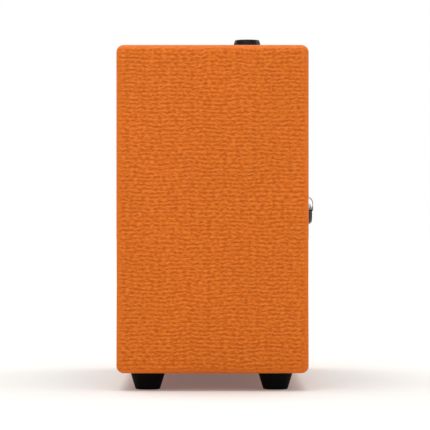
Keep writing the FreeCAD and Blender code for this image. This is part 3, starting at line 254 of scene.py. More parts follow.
def buildStudio():
    scene = bpy.context.scene
    scene.view_settings.view_transform = "Standard"
    cam = bpy.data.objects.new("camera", bpy.data.cameras.new("camera"))
    scene.collection.objects.link(cam)
    cam.data.lens = studio["lens"]
    cam.data.sensor_width = 36
    cam.data.clip_start, cam.data.clip_end = 0.01, 60
    cam.location = (cadBounds[0].x - studio["cameraBack"], studio["cameraY"], studio["cameraZ"])
    cam.rotation_euler = (math.radians(90), 0, math.radians(-90))
    scene.camera = cam

    # a flat round floor: rings whose radius grows as a power of their number, so that they are close
    # together under the object. It glows, which is painted light: weakly under the object, where it lifts the
    # shadow, and more towards its rim, to meet the white behind it
    ring = np.linspace(0, 1, 24)[:, None]
    turn = np.linspace(0, 2 * np.pi, 97)[None]
    reach = 6.0 * ring ** 1.6
    floorPoints = np.stack([reach * np.cos(turn), reach * np.sin(turn), 0 * reach * turn], -1)[::-1]
    floorMesh = meshOf("floor", [sheetOf(floorPoints, floorPoints[..., :2])])
    floor = bpy.data.objects.new("floor", floorMesh)
    scene.collection.objects.link(floor)
    material, tree, shader = newMaterial("matt_paper_floor_with_painted_glow", Roughness=0.85, Specular_IOR_Level=0.1)
    place = addNode(tree, "TexCoord").outputs["Object"]
    away = addNode(tree, "MapRange", {}, {
        "Value": addNode(tree, "VectorMath", {"operation": "LENGTH"}, {0: place}).outputs["Value"],
        "From Min": 0.25, "From Max": 1.3,
    })
    ramp = blendColours(tree, away, [(0.0, studio["floor"][0]), (1.0, studio["floor"][1])])
    tree.links.new(ramp.outputs["Color"], shader.inputs["Base Color"])
    tree.links.new(ramp.outputs["Color"], shader.inputs["Emission Color"])
    # painted light: the glow is weak near the object, where it lightens the shadow, and strong far off
    glow = addNode(tree, "MapRange", {}, {"Value": away, "To Min": 0.16, "To Max": 0.55})
    tree.links.new(glow.outputs[0], shader.inputs["Emission Strength"])
    floorMesh.materials.append(material)

    # the room: white behind, and light from overhead that falls off towards the horizon as the square of
    # the height
    world = bpy.data.worlds.new("soft_room")
    scene.world = world
    world.use_nodes = True
    tree = world.node_tree
    tree.nodes.clear()
    upward = addNode(tree, "SeparateXYZ", {}, {"Vector": addNode(tree, "TexCoord").outputs["Generated"]})
    height = mathNode(tree, "MAXIMUM", upward.outputs["Z"])
    fall = mathNode(tree, "POWER", height, 2.0)
    lift = mathNode(tree, "MULTIPLY_ADD", fall, studio["zenith"], studio["horizon"])
    room = addNode(tree, "Background", {}, {"Color": (1.0, 0.985, 0.965, 1), "Strength": lift})
    seen = addNode(tree, "Background", {}, {"Color": (1, 1, 1, 1), "Strength": 1.0})
    ray = addNode(tree, "LightPath")
    both = addNode(tree, "MixShader", {}, {
        0: ray.outputs["Is Camera Ray"], 1: room.outputs[0], 2: seen.outputs[0],
    })
    addNode(tree, "OutputWorld", {}, {"Surface": both.outputs[0]})

    # soft boxes: overhead, behind the camera, and two weaker ones for the other sides
    for title, at, power, wide, tall in (
        ("top_box", (-0.05, 0.12, 1.5), 8.6, 1.1, 1.1),
        ("camera_side_box", (-1.4, 0.1, 0.66), 3.4, 1.7, 0.8),
        ("rear_box", (0.9, 0.9, 0.9), 2.6, 0.9, 0.9),
        ("front_box", (0.5, -1.2, 0.8), 3.2, 1.0, 0.9),
    ):
        lamp = bpy.data.objects.new(title, bpy.data.lights.new(title, "AREA"))
        lamp.data.energy = power
        lamp.data.shape = "RECTANGLE"
        lamp.data.size, lamp.data.size_y = wide, tall
        lamp.location = at
        aim = -lamp.location
        aim.z += 0.07
        lamp.rotation_euler = aim.to_track_quat("-Z", "Y").to_euler()
        scene.collection.objects.link(lamp)
    print("studio ready")


buildStudio()


# embossed PVC on cloth backing, nearly matt. Wavy ridges 1.7 mm apart run front to back in broken dashes,
# as on a coarse weave, and they shift a little from column to column
vinylCover = {
    "ridgeWithPaintedHighlight": "#e67e25",
    "body": "#da6c16",
    "valleyWithPaintedShade": "#c4590b",
    "ridgePitch": 1.7,  # mm
    "dashLong": 3.4,  # mm
    "columnPitch": 3.3,  # mm
    "relief": 0.30,  # mm
    "pulledFrom": 3.4 * mm,  # how near an edge the relief starts to flatten
    "borderRelief": 0.4,
    "edgeRound": 3.0 * mm,
    "lipRound": 0.8 * mm,
    "board": 7.4 * mm,  # covered board's thickness
    "windowHalf": (59.0 * mm, 12.0 * mm),
}


def makeVinylMaterial():
    look = vinylCover
    material, tree, shader = newMaterial("embossed_vinyl", Specular_IOR_Level=0.18, IOR=1.5)
    cut = addNode(tree, "UVMap", {"uv_map": "cut"})
    axes = addNode(tree, "SeparateXYZ", {}, {"Vector": cut})  # X round the cabinet, Y front to back
    perimeter, along = axes.outputs["X"], axes.outputs["Y"]
    # the ridges wander slowly, and step a little between columns
    sway = mathNode(tree, "MULTIPLY_ADD", flatNoise(tree, cut, 1000 / 16.0), 2.2 * mm, perimeter)
    columnPlace = addNode(tree, "CombineXYZ", {}, {
        "X": mathNode(tree, "MULTIPLY", perimeter, 1000 / 5.0),
        "Y": mathNode(tree, "MULTIPLY", along, 1000 / look["columnPitch"]),
    })
    across = mathNode(tree, "MULTIPLY_ADD", flatNoise(tree, columnPlace, 1.0, 1.0), 0.75 * mm, sway)
    wave = mathNode(tree, "SINE", mathNode(tree, "MULTIPLY", across, 2000 * math.pi / look["ridgePitch"]))
    dashPlace = addNode(tree, "CombineXYZ", {}, {
        "X": mathNode(tree, "MULTIPLY", perimeter, 1000 / 1.9),
        "Y": mathNode(tree, "MULTIPLY", along, 1000 / look["dashLong"]),
    })
    dash = addNode(tree, "MapRange", {}, {
        "Value": flatNoise(tree, dashPlace, 1.5, 1.0),
        "From Min": 0.36, "From Max": 0.66, "To Min": 0.08, "To Max": 0.38,
    })
    ridges = mathNode(tree, "MULTIPLY_ADD", wave, dash, 0.5)
    # short crumpled streaks over the ridges
    streakPlace = addNode(tree, "CombineXYZ", {}, {
        "X": mathNode(tree, "MULTIPLY", across, 1000 / 0.72),
        "Y": mathNode(tree, "MULTIPLY", along, 1000 / 1.65),
    })
    streaks = addNode(tree, "MapRange", {}, {
        "Value": flatNoise(tree, streakPlace, 1.0, 2.0),
        "From Min": 0.3, "From Max": 0.7, "To Min": -0.36, "To Max": 0.36,
    })
    # upright hollows between columns, only here and there
    columnWave = mathNode(tree, "COSINE", mathNode(
        tree, "MULTIPLY",
        mathNode(tree, "MULTIPLY_ADD", flatNoise(tree, cut, 1000 / 8.0), 4.0 * mm, along),
        1000 * math.pi / look["columnPitch"],
    ))
    hollow = addNode(tree, "MapRange", {}, {
        "Value": columnWave, "From Min": 0.8, "From Max": 1.0, "To Min": 0.0, "To Max": -0.09,
    })
    pits = addNode(tree, "MapRange", {}, {
        "Value": flatNoise(tree, cut, 1000 / 0.7, 2.0), "To Min": -0.08, "To Max": 0.08,
    })
    worked = mathNode(tree, "ADD", mathNode(tree, "ADD", ridges, hollow), mathNode(tree, "ADD", streaks, pits))
    # the covering is pulled tight over the cabinet's edges, which flattens its relief
    tight = addNode(tree, "Attribute", {"attribute_name": "relief"}).outputs["Fac"]
    height = addNode(tree, "MapRange", {"clamp": False}, {
        "Value": worked, "To Min": mathNode(tree, "MULTIPLY_ADD", tight, -0.55, 0.55),
        "To Max": mathNode(tree, "MULTIPLY_ADD", tight, 0.45, 0.55),
    })
    # the colour follows the relief's height, darker in the valleys and hollows and paler on the ridges: painted
    # shade and painted highlight over the bump
    ramp = blendColours(tree, height, [(0.1, look["valleyWithPaintedShade"]), (0.5, look["body"]), (0.9, look["ridgeWithPaintedHighlight"])])
    slow = flatNoise(tree, cut, 1000 / 45, 2.0)
    tint = addNode(tree, "HueSaturation", {}, {
        "Color": ramp.outputs["Color"], "Value": spread(tree, slow, 0.95, 1.05),
    })
    tree.links.new(tint.outputs[0], shader.inputs["Base Color"])
    sheen = addNode(tree, "MapRange", {}, {"Value": height, "To Min": 0.68, "To Max": 0.48})
    tree.links.new(sheen.outputs[0], shader.inputs["Roughness"])
    bump = addNode(tree, "Bump", {}, {"Height": height, "Strength": 1.0, "Distance": look["relief"] * mm})
    tree.links.new(bump.outputs[0], shader.inputs["Normal"])
    return material


def roundedLoop(halfWide, halfTall, cornerRound, topStops, sideSteps, cornerSteps):
    # once round a rectangle with quarter-circle corners, from the middle of its underside:
    # each corner is its centre plus the round times (cosine, sine)
    x, z = halfWide - cornerRound, halfTall - cornerRound
    arc = np.linspace(0, np.pi / 2, cornerSteps + 1)
    side = np.linspace(-1, 1, sideSteps)[1:-1]
    under = np.linspace(0, 1, 12)[:-1]

    def flat(a, b):
        return np.stack(np.broadcast_arrays(a, b), -1)

    def turn(cx, cz, angle):
        return flat(cx + cornerRound * np.cos(angle), cz + cornerRound * np.sin(angle))

    return np.concatenate([
        flat(-under * x, -halfTall),
        turn(-x, -z, 1.5 * np.pi - arc),
        flat(-halfWide, side * z),
        turn(-x, z, np.pi - arc),
        flat(topStops * x, halfTall),
        turn(x, z, np.pi / 2 - arc),
        flat(halfWide, -side * z),
        turn(x, -z, -arc),
        flat(under[::-1] * x, -halfTall),
    ])


def buildVinyl():
    look = vinylCover
    low, high = corners("vinyl_covering")
    middle = (low + high) / 2
    half = (high - low) / 2
    edge, lip, board = look["edgeRound"], look["lipRound"], look["board"]
    knobLow, knobHigh = corners("gain_knob")
    rowY = (knobLow[1] + knobHigh[1]) / 2
    wellX = look["windowHalf"][0] + lip
    wellFront, wellRear = rowY - look["windowHalf"][1] - lip, rowY + look["windowHalf"][1] + lip
    # across a board's edge, from inside the grille opening round to the back panel: (inset, y)
    quarter = np.linspace(0, np.pi / 2, 9)
    baffle = corners("baffle_board")[0][1]
    panelIn = corners("back_panel")[0][1]
    flatY = np.concatenate([
        np.linspace(low[1] + edge, wellFront, 4)[:-1],
        np.linspace(wellFront, wellRear, 9)[:-1],
        np.linspace(wellRear, high[1] - edge, 9),
    ])
    frontLip = np.stack([board - lip * (1 - np.cos(quarter)), low[1] + lip * (1 - np.sin(quarter))], -1)
    frontEdge = np.stack([edge * (1 - np.sin(quarter)), low[1] + edge * (1 - np.cos(quarter))], -1)
    rearEdge = np.stack([edge * (1 - np.cos(quarter)), high[1] - edge * (1 - np.sin(quarter))], -1)
    rearLip = np.stack([board - lip * (1 - np.sin(quarter)), high[1] - lip * (1 - np.cos(quarter))], -1)
    path = np.concatenate([
        [[board, baffle]], frontLip, frontEdge,
        np.stack([0 * flatY, flatY], -1)[1:-1],
        rearEdge, rearLip, [[board, panelIn]],
    ])
    stop = wellX / (half[0] - edge)
    topStops = np.concatenate([
        np.linspace(-1, -stop, 8)[1:-1], np.linspace(-stop, stop, 49), np.linspace(stop, 1, 8)[1:-1],
    ])
    loops = [
        roundedLoop(half[0] - inset, half[2] - inset, max(edge - inset, 0.15 * mm), topStops, 40, 8)
        for inset, _ in path
    ]
    points = np.stack([
        np.column_stack([middle[0] + loop[:, 0], np.full(len(loop), y), middle[2] + loop[:, 1]])
        for loop, (_, y) in zip(loops, path)
    ])
    outer = roundedLoop(half[0], half[2], edge, topStops, 40, 8)
    uv = np.stack(np.broadcast_arrays(lengthsAlong(outer)[None], lengthsAlong(path)[:, None]), -1)
    cell = (points[:-1, :-1] + points[1:, 1:]) / 2
    inWell = (abs(cell[..., 0]) < wellX) & (cell[..., 1] > wellFront) & (cell[..., 1] < wellRear)
    cover = sheetOf(points, uv, ~(inWell & (cell[..., 2] > high[2] - 0.1 * mm)))
    # the well's lining: over its rim in a quarter circle, then straight down to the control panel
    panelTop = corners("control_panel")[1][2]
    rim = np.stack([lip * (1 - np.sin(quarter)), high[2] - lip * (1 - np.cos(quarter))], -1)
    rim = np.concatenate([rim, [[0, panelTop]]])
    sideX, sideY = np.linspace(-1, 1, 49), np.linspace(-1, 1, 9)
    ringX = np.concatenate([sideX, 1 + 0 * sideY[1:], -sideX[1:], -1 + 0 * sideY[1:]])
    ringY = np.concatenate([-1 + 0 * sideX, sideY[1:], 1 + 0 * sideX[1:], -sideY[1:]])
    wide, deep = look["windowHalf"]
    lining = np.stack([
        ringX[None] * (wide + rim[:, :1]),
        rowY + ringY[None] * (deep + rim[:, :1]),
        rim[:, 1:] + 0 * ringX[None],
    ], -1)
    liningUv = np.stack([lining[..., 0] + lining[..., 1] * 0.6, lining[..., 2] + lining[..., 1]], -1)
    # how much of its relief the covering keeps: a smooth step of the distance to the nearest edge, and
    # less on the narrow borders front and rear, where it is stretched over the boards' ends
    fromFaces = np.sort(half - abs(points - middle), axis=-1)[..., 1]
    step = np.clip(fromFaces / look["pulledFrom"], 0, 1)
    relief = 0.15 + 0.85 * step ** 2 * (3 - 2 * step)
    onBorder = half[1] - abs(points[..., 1] - middle[1]) < 0.5 * mm
    relief = np.where(onBorder, look["borderRelief"] * relief, relief)
    relief = np.concatenate([relief.ravel(), np.full(lining[..., 0].size, 0.6)])
    mesh = meshOf("vinyl_skin", [cover, sheetOf(lining, liningUv)], {"relief": relief}, sharp=50)
    addPiece("vinyl_skin", mesh, "cabinet", makeVinylMaterial(), ["vinyl_covering"], wall=0.5 * mm)
    print("vinyl made:", len(mesh.polygons), "faces")


buildVinyl()


# woven speaker cloth in plain weave, matt: dark upright warp under and over level tan weft, no two threads
# quite the same tone, with fibres along each thread. Where a thread sinks low the colour fades to near black:
# painted shade in the gaps between threads
speakerCloth = {
    "pitch": 1.65 * mm,
    "samples": 4,  # grid cells to a thread
    "relief": 0.3 * mm,
    "dive": 0.30,  # how far a thread swings up and down, in pitches
    "warp": ("#1d1713", "#43332a"),
    "weft": ("#7a6140", "#b1935f"),
    "gap": "#0d0a08",
}


def clothHeights(x, z, dive):
    # x and z count threads. A thread is a circle's arc across it, and its middle swings as a cosine along
    # it, one way over the odd crossings and the other way over the even ones. The higher thread shows
    def arc(part):
        return 0.5 * np.sqrt(1 - 3.8 * (part % 1 - 0.5) ** 2)
    warp = arc(x) + dive * np.cos(np.pi * (z - 0.5)) * np.cos(np.pi * np.floor(x))
    weft = arc(z) - dive * np.cos(np.pi * (x - 0.5)) * np.cos(np.pi * np.floor(z))
    return np.maximum(warp, weft)


def makeClothMaterial(pitchX, pitchZ):
    # the same heights again in the shader, so that each thread's edge is sharp
    look = speakerCloth
    material, tree, shader = newMaterial(
        "woven_speaker_cloth", Specular_IOR_Level=0.2, Sheen_Weight=0.15, Sheen_Roughness=0.5,
    )
    cut = addNode(tree, "UVMap", {"uv_map": "cut"})
    axes = addNode(tree, "SeparateXYZ", {}, {"Vector": cut})
    x = mathNode(tree, "DIVIDE", axes.outputs["X"], pitchX)
    z = mathNode(tree, "DIVIDE", axes.outputs["Y"], pitchZ)

    def threadHeight(across, along, swing):
        part = mathNode(tree, "SUBTRACT", mathNode(tree, "FRACT", across), 0.5)
        square = mathNode(tree, "MULTIPLY", part, part)
        arc = mathNode(tree, "SQRT", mathNode(tree, "MULTIPLY_ADD", square, -3.8, 1.0))
        wave = mathNode(tree, "COSINE", mathNode(tree, "MULTIPLY_ADD", along, math.pi, -math.pi / 2))
        turn = mathNode(tree, "COSINE", mathNode(tree, "MULTIPLY", mathNode(tree, "FLOOR", across), math.pi))
        rise = mathNode(tree, "MULTIPLY", mathNode(tree, "MULTIPLY", wave, turn), swing)
        return mathNode(tree, "MULTIPLY_ADD", arc, 0.5, rise)

    def threadColour(across, along, colours):
        # its own tone from its number, and fibres eight times as long as they are wide
        tone = addNode(tree, "TexWhiteNoise", {"noise_dimensions": "1D"}, {
            "W": mathNode(tree, "FLOOR", across),
        })
        place = addNode(tree, "CombineXYZ", {}, {"X": mathNode(tree, "MULTIPLY", across, 8.0), "Y": along})
        fibre = flatNoise(tree, place, 1.2, 3.0)
        value = mathNode(tree, "MULTIPLY_ADD", tone.outputs["Value"], 0.35, fibre)
        return blendColours(tree, value, [(0.42, colours[0]), (0.9, colours[1])]), fibre

    warp, weft = threadHeight(x, z, look["dive"]), threadHeight(z, x, -look["dive"])
    weftOnTop = mathNode(tree, "GREATER_THAN", weft, warp)
    warpColour, warpFibre = threadColour(x, z, look["warp"])
    weftColour, weftFibre = threadColour(z, x, look["weft"])
    thread = addNode(tree, "Mix", {"data_type": "RGBA"}, {
        "Factor": weftOnTop, 6: warpColour.outputs[0], 7: weftColour.outputs[0],
    })
    rise = mathNode(tree, "MAXIMUM", warp, weft)
    # the lower a thread sits, the nearer its colour goes to near black: painted shade between the threads
    deep = addNode(tree, "MapRange", {}, {"Value": rise, "From Min": 0.22, "From Max": 0.46})
    colour = addNode(tree, "Mix", {"data_type": "RGBA"}, {"Factor": deep, 6: look["gap"], 7: thread.outputs[2]})
    tree.links.new(colour.outputs[2], shader.inputs["Base Color"])
    fibre = addNode(tree, "Mix", {}, {"Factor": weftOnTop, "A": warpFibre, "B": weftFibre})
    tree.links.new(spread(tree, fibre, 0.7, 0.95).outputs[0], shader.inputs["Roughness"])
    bump = addNode(tree, "Bump", {}, {"Height": fibre, "Strength": 1.0, "Distance": 0.06 * mm})
    tree.links.new(bump.outputs[0], shader.inputs["Normal"])
    return material


def buildGrilleCloth():
    look = speakerCloth
    low, high = corners("grille_cloth")
    size = high - low
    threads = np.round(size / look["pitch"])
    x = np.linspace(0, threads[0], int(threads[0]) * look["samples"] + 1)
    z = np.linspace(0, threads[2], int(threads[2]) * look["samples"] + 1)
    gridX, gridZ = np.meshgrid(x, z)
    top = 0.5 + look["dive"]
    sunk = look["relief"] * (top - clothHeights(gridX, gridZ, look["dive"])) / top
    placeX, placeZ = gridX * size[0] / threads[0], gridZ * size[2] / threads[2]
    points = np.stack([low[0] + placeX, low[1] + sunk, low[2] + placeZ], -1)
    uv = np.stack([placeX, placeZ], -1)
    sheets = [sheetOf(points, uv)]
    # the cloth turns back over the baffle's four edges, and its pattern runs on round them
    deep = high[1] - low[1]
    for edge, edgeUv, out in (
        (points[0], uv[0], (0, -1)), (points[-1][::-1], uv[-1][::-1], (0, 1)),
        (points[::-1, 0], uv[::-1, 0], (-1, 0)), (points[:, -1], uv[:, -1], (1, 0)),
    ):
        back = edge * [1, 0, 1] + [0, high[1], 0]
        sheets.append(sheetOf([back, edge], [edgeUv + np.array(out) * deep, edgeUv]))
    mesh = meshOf("grille_fabric", sheets, sharp=180)
    material = makeClothMaterial(float(size[0] / threads[0]), float(size[2] / threads[2]))
    piece = addPiece("grille_fabric", mesh, "cabinet", material, ["grille_cloth"])
    print("grille cloth made:", len(mesh.polygons), "faces")


buildGrilleCloth()


# zinc casting, polished and plated. A bright rim goes round a sunk, black enamelled field. The lower half of
# the outer wall is painted the same near black, as a painted reflection of dark surroundings, and is not metal
# there
badge = {
    "plate": "#eceded",
    "enamelAndPaintedReflection": "#0c0a09",
    "groove": 0.16 * mm,
    "rim": (1.1 * mm, 2.4 * mm),  # bright ring, from the outline inwards
    "round": 2.5 * mm,
    "thick": 3.8 * mm,
}


def buildBadge():
    look = badge
    low, high = corners("badge_dome")
    middle = (low + high) / 2
    reach = (high[2] - low[2]) / 2
    straight = (high[0] - low[0]) / 2 - reach
    seat = low[1] + look["thick"]
    # (inset, rise) from the seat up the wall and over a quarter circle, then across the face, which
    # steps down into the enamelled field
    turn = np.linspace(0, np.pi / 2, 25)
    over = np.stack([
        look["round"] * (1 - np.cos(turn)), look["thick"] - look["round"] * (1 - np.sin(turn)),
    ], -1)
    inset = np.linspace(look["round"], reach, 50)[1:]
    sunk = look["groove"] / (1 + np.exp(-(inset - look["rim"][1] - 0.25 * mm) / (0.05 * mm)))
    path = np.concatenate([[[0, 0]], over, np.stack([inset, look["thick"] - sunk], -1)])
    angle = np.linspace(0, 2 * np.pi, 129)
    # a stadium: a circle whose halves are moved apart along X
    shift = straight * np.sign(np.cos(angle)) * (abs(np.cos(angle)) > 1e-9)
    radius = reach - path[:, :1]
    points = np.stack([
        middle[0] + shift[None] + radius * np.cos(angle),
        seat - path[:, 1:] + 0 * angle,
        middle[2] + radius * np.sin(angle),
    ], -1)
    insets = np.broadcast_to(path[:, :1], points.shape[:2])
    mesh = meshOf("badge_plate", [sheetOf(points, points[..., [0, 2]])], {"inset": insets}, sharp=60)
    material, tree, shader = newMaterial("plated_badge_with_enamel_and_painted_reflection", Specular_IOR_Level=0.5)
    place = addNode(tree, "TexCoord").outputs["Object"]
    axes = addNode(tree, "SeparateXYZ", {}, {"Vector": place})
    # below this line, outside the bright ring, the wall takes the near black and no metal: a painted reflection
    aboveThePaintedReflection = mathNode(tree, "GREATER_THAN", axes.outputs["Z"], float(middle[2] + 0.4 * mm))
    inward = addNode(tree, "Attribute", {"attribute_name": "inset"}).outputs["Fac"]
    ring = mathNode(tree, "GREATER_THAN", inward, look["rim"][0])
    field = mathNode(tree, "GREATER_THAN", inward, look["rim"][1] + 0.2 * mm)
    bright = mathNode(tree, "SUBTRACT", mathNode(tree, "MAXIMUM", aboveThePaintedReflection, ring), field)
    bright.use_clamp = True
    swirl = addNode(tree, "TexNoise", {}, {"Vector": place, "Scale": 1000 / 4.0, "Detail": 4.0})
    plate = blendColours(tree, swirl.outputs["Fac"], [(0.35, "#dfe0e2"), (0.65, look["plate"])])
    enamelAndPaintedReflection = blendColours(tree, swirl.outputs["Fac"], [(0.35, look["enamelAndPaintedReflection"]), (0.65, "#17120f")])
    colour = addNode(tree, "Mix", {"data_type": "RGBA"}, {
        "Factor": bright, 6: enamelAndPaintedReflection.outputs["Color"], 7: plate.outputs["Color"],
    })
    tree.links.new(colour.outputs[2], shader.inputs["Base Color"])
    tree.links.new(bright.outputs[0], shader.inputs["Metallic"])
    fine = addNode(tree, "TexNoise", {}, {"Vector": place, "Scale": 1000 / 0.6, "Detail": 2.0})
    tree.links.new(spread(tree, fine.outputs["Fac"], 0.10, 0.22).outputs[0], shader.inputs["Roughness"])
    bump = addNode(tree, "Bump", {}, {"Height": swirl.outputs["Fac"], "Strength": 0.4, "Distance": 0.02 * mm})
    tree.links.new(bump.outputs[0], shader.inputs["Normal"])
    addPiece("badge_plate", mesh, "cabinet", material, ["badge_dome"])
    print("badge made")


buildBadge()


# moulded natural rubber: near black, matt, with a little bloom where it is handled
foot = {
    "colours": ("#020202", "#060606"),
    "cornerRound": 0.5 * mm,
    "tread": 5.0 * mm,  # radii of the tread, the screw's recess and its hole
    "well": 3.6 * mm,
    "hole": 1.65 * mm,
    "wellTop": 3.0 * mm,
    "around": 72,
}


def buildFeet():
    look = foot
    rubber = mixedFinish("moulded_rubber", look["colours"], 3.0, (0.6, 0.85), 0.35, 0.03, Specular_IOR_Level=0.1)
    for corner in ("front_left", "front_right", "rear_left", "rear_right"):
        node = "foot_" + corner
        low, high = corners(node)
        centre = (low + high) / 2
        tall, topR = high[2] - low[2], (high[0] - low[0]) / 2
        # from the screw's seat down its recess, over the tread and up the cone to the cabinet
        path = roundedPath([
            (look["hole"], look["wellTop"]),
            (look["well"], look["wellTop"], 0.3 * mm),
            (look["well"], 0, 0.3 * mm),
            (look["tread"], 0, look["cornerRound"]),
            (topR, tall - 0.05 * mm, 0.25 * mm),
            (look["hole"], tall),
        ])
        mesh = meshOf(node + "_rubber", [latheSheet(path, (centre[0], centre[1], low[2]), look["around"])])
        addPiece(node + "_rubber", mesh, "cabinet", rubber, [node])
    print("feet made")


buildFeet()


# phenolic knobs, compression moulded and polished: deep black, glossy, fine flutes for grip
knob = {
    "colours": ("#050404", "#0b0a09"),
    "mark": "#f1efe6",
    "flutes": 30,
    "fluteDepth": 0.13 * mm,
    "markWide": 1.0 * mm,
    "skirtTall": 1.8 * mm,
    "hollow": 6.2 * mm,  # radius inside the skirt
    "top": 5.1 * mm,  # radius at the top
    "edge": 0.35 * mm,
}


def buildKnobs():
    look = knob
    gloss = mixedFinish(
        "polished_phenolic", look["colours"], 2.5, (0.2, 0.34), 0.5, 0.004, Specular_IOR_Level=0.28,
    )
    # paint filled into the pointer's groove: matt and a little uneven
    ink = mixedFinish("filled_white_paint", ("#e6e3d8", look["mark"]), 1.5, (0.4, 0.55), 0.3, 0.01)
    for name in ("gain", "tone", "volume"):
        low, high = corners(name + "_knob")
        centre = (low + high) / 2
        tall, skirt = high[2] - low[2], (high[0] - low[0]) / 2
        hollow, top, edge = look["hollow"], look["top"], look["edge"]
        path = roundedPath([
            (hollow, 0.05 * mm), (hollow, 0), (skirt, 0, edge), (skirt, look["skirtTall"], edge),
            (skirt - 0.25 * mm, look["skirtTall"] + 0.1 * mm, 0.05 * mm),
            (top, tall, edge), (top * 0.55, tall - 0.02 * mm), (0, tall - 0.03 * mm),
        ], 8)
        # finer rows up the cone, so that the flutes fade in and out
        rows = np.unique(np.concatenate([lengthsAlong(path), np.linspace(0, lengthsAlong(path)[-1], 70)]))
        path = np.column_stack([np.interp(rows, lengthsAlong(path), path[:, i]) for i in (0, 1)])

        def flute(angle, radius, height):
            # cosine flutes, sharpened, between the skirt and the top edge
            rising = np.clip((height - 2.4 * mm) / (0.8 * mm), 0, 1)
            falling = np.clip((tall - 1.1 * mm - height) / (0.8 * mm), 0, 1)
            wave = (0.5 + 0.5 * np.cos(look["flutes"] * angle)) ** 2
            return look["fluteDepth"] * (rising * falling) * wave

        at = (centre[0], centre[1], low[2])
        mesh = meshOf(name + "_knob_body", [latheSheet(path, at, 240, flute)], sharp=60)
        addPiece(name + "_knob_body", mesh, name + "_control", gloss, [name + "_knob"])
        # the pointer: a strip laid up the cone and over the top, proud of it by a hair
        outline = path[(path[:, 1] > look["skirtTall"] + 0.3 * mm) & (path[:, 0] > 1.2 * mm)]
        width = np.linspace(-0.5, 0.5, 7)[None] * look["markWide"]
        reach = outline[:, :1] + 0.03 * mm
        strip = np.stack([
            at[0] - width + 0 * reach,
            at[1] + np.sqrt(np.maximum(reach ** 2 - width ** 2, 0)),
            at[2] + np.minimum(outline[:, 1:] + 0.02 * mm, tall) + 0 * width,
        ], -1)
        marks = meshOf(name + "_knob_mark", [sheetOf(strip, strip[..., :2])], sharp=70)
        addPiece(name + "_knob_mark", marks, name + "_control", ink)
    print("knobs made")


buildKnobs()


panelMarks = {
    "ink": "#1a1a1b",
    "ticks": 11,
    "tickFrom": 8.5 * mm,
    "tickTo": 9.6 * mm,
    "digitTall": 2.3 * mm,
    "digitReach": 10.8 * mm,
    "sweep": 150,  # degrees each side of straight up
}


def buildPanelMarks():
    look = panelMarks
    top = corners("control_panel")[1][2] + 0.02 * mm
    sheets = []
    digits = []
    for name in ("gain", "tone", "volume"):
        low, high = corners(name + "_knob")
        centre = (low + high) / 2
        for i, turn in enumerate(np.radians(np.linspace(look["sweep"], -look["sweep"], look["ticks"]))):
            out = np.array([-math.sin(turn), math.cos(turn)])
            side = np.array([out[1], -out[0]])
            wide = (0.30 if i % 5 == 0 else 0.18) * mm
            ends = [look["tickFrom"], look["tickTo"]]
            bar = np.array([[[*(centre[:2] + out * r + side * s * wide), top] for s in (-1, 1)] for r in ends])
            sheets.append(sheetOf(bar[::-1], bar[::-1][..., :2]))
            if i % 5 == 0:
                digits.append((str(i), centre[:2] + out * look["digitReach"] * (1 if i == 5 else 1.04)))
    # screen-printed ink: black, satin
    ink = mixedFinish("printed_ink", (look["ink"], "#252526"), 1.5, (0.45, 0.6), 0.3, 0.004)
    mesh = meshOf("panel_ticks", sheets)
    addPiece("panel_ticks", mesh, "cabinet", ink)
    for i, (text, at) in enumerate(digits):
        curve = bpy.data.curves.new("digits", "FONT")
        curve.body = text
        curve.size = look["digitTall"]
        curve.align_x, curve.align_y = "CENTER", "CENTER"
        curve.offset = 0.07 * mm
        curve.extrude = 0.01 * mm
        curve.resolution_u = 4
        holder = bpy.data.objects.new("digits", curve)
        bpy.context.scene.collection.objects.link(holder)
        flat = bpy.data.meshes.new_from_object(holder.evaluated_get(bpy.context.evaluated_depsgraph_get()))
        bpy.data.objects.remove(holder)
        flat.transform(Matrix.Translation((*at, top)))
        flat.materials.clear()
        addPiece(f"panel_number_{i}", flat, "cabinet", ink)
    print("panel marks made")


buildPanelMarks()


# five moulded ribs near the battery lid's free edge, for a thumb
lidGrip = {
    "ribs": 5,
    "pitch": 1.8 * mm,
    "fromEdge": 4.5 * mm,
    "half": 9.0 * mm,  # half a rib's length
    "tall": 0.45 * mm,
    "wide": 0.9 * mm,
}


def buildLidGrip(material):
    look = lidGrip
    low, high = corners("battery_lid")
    sheets = []
    for i in range(look["ribs"]):
        z = high[2] - look["fromEdge"] - i * look["pitch"]
        # a half-round bar whose height falls to nothing at both ends
        along = np.linspace(-1, 1, 41)[:, None]
        across = np.linspace(-1, 1, 11)[None]
        ends = np.sqrt(np.clip(1 - along ** 8, 0, 1))
        points = np.stack([
            along * look["half"] + 0 * across,
            high[1] + look["tall"] * ends * np.sqrt(np.clip(1 - across ** 2, 0, 1)) - 0.02 * mm,
            z + across * look["wide"] / 2 * (0.3 + 0.7 * ends),
        ], -1)
        sheets.append(sheetOf(points, points[..., [0, 2]]))
    mesh = meshOf("lid_grip_ribs", sheets)
    addPiece("lid_grip_ribs", mesh, "battery_cover", material)
    print("lid ribs made")


def paint(material, *names):
    for name in names:
        mesh = nodes[name].data
        mesh.materials.clear()
        mesh.materials.append(material)


def makeBrushed(name, colours, stretch, rough, metallic=1.0, relief=0.012, **surface):
    # drawn, brushed or plated metal: hairlines long in one direction, 0.4 mm apart, which is coarser than
    # the real ones so that they show
    return mixedFinish(name, colours, 2.2, rough, 0.4, relief, stretch=stretch, metallic=metallic, **surface)


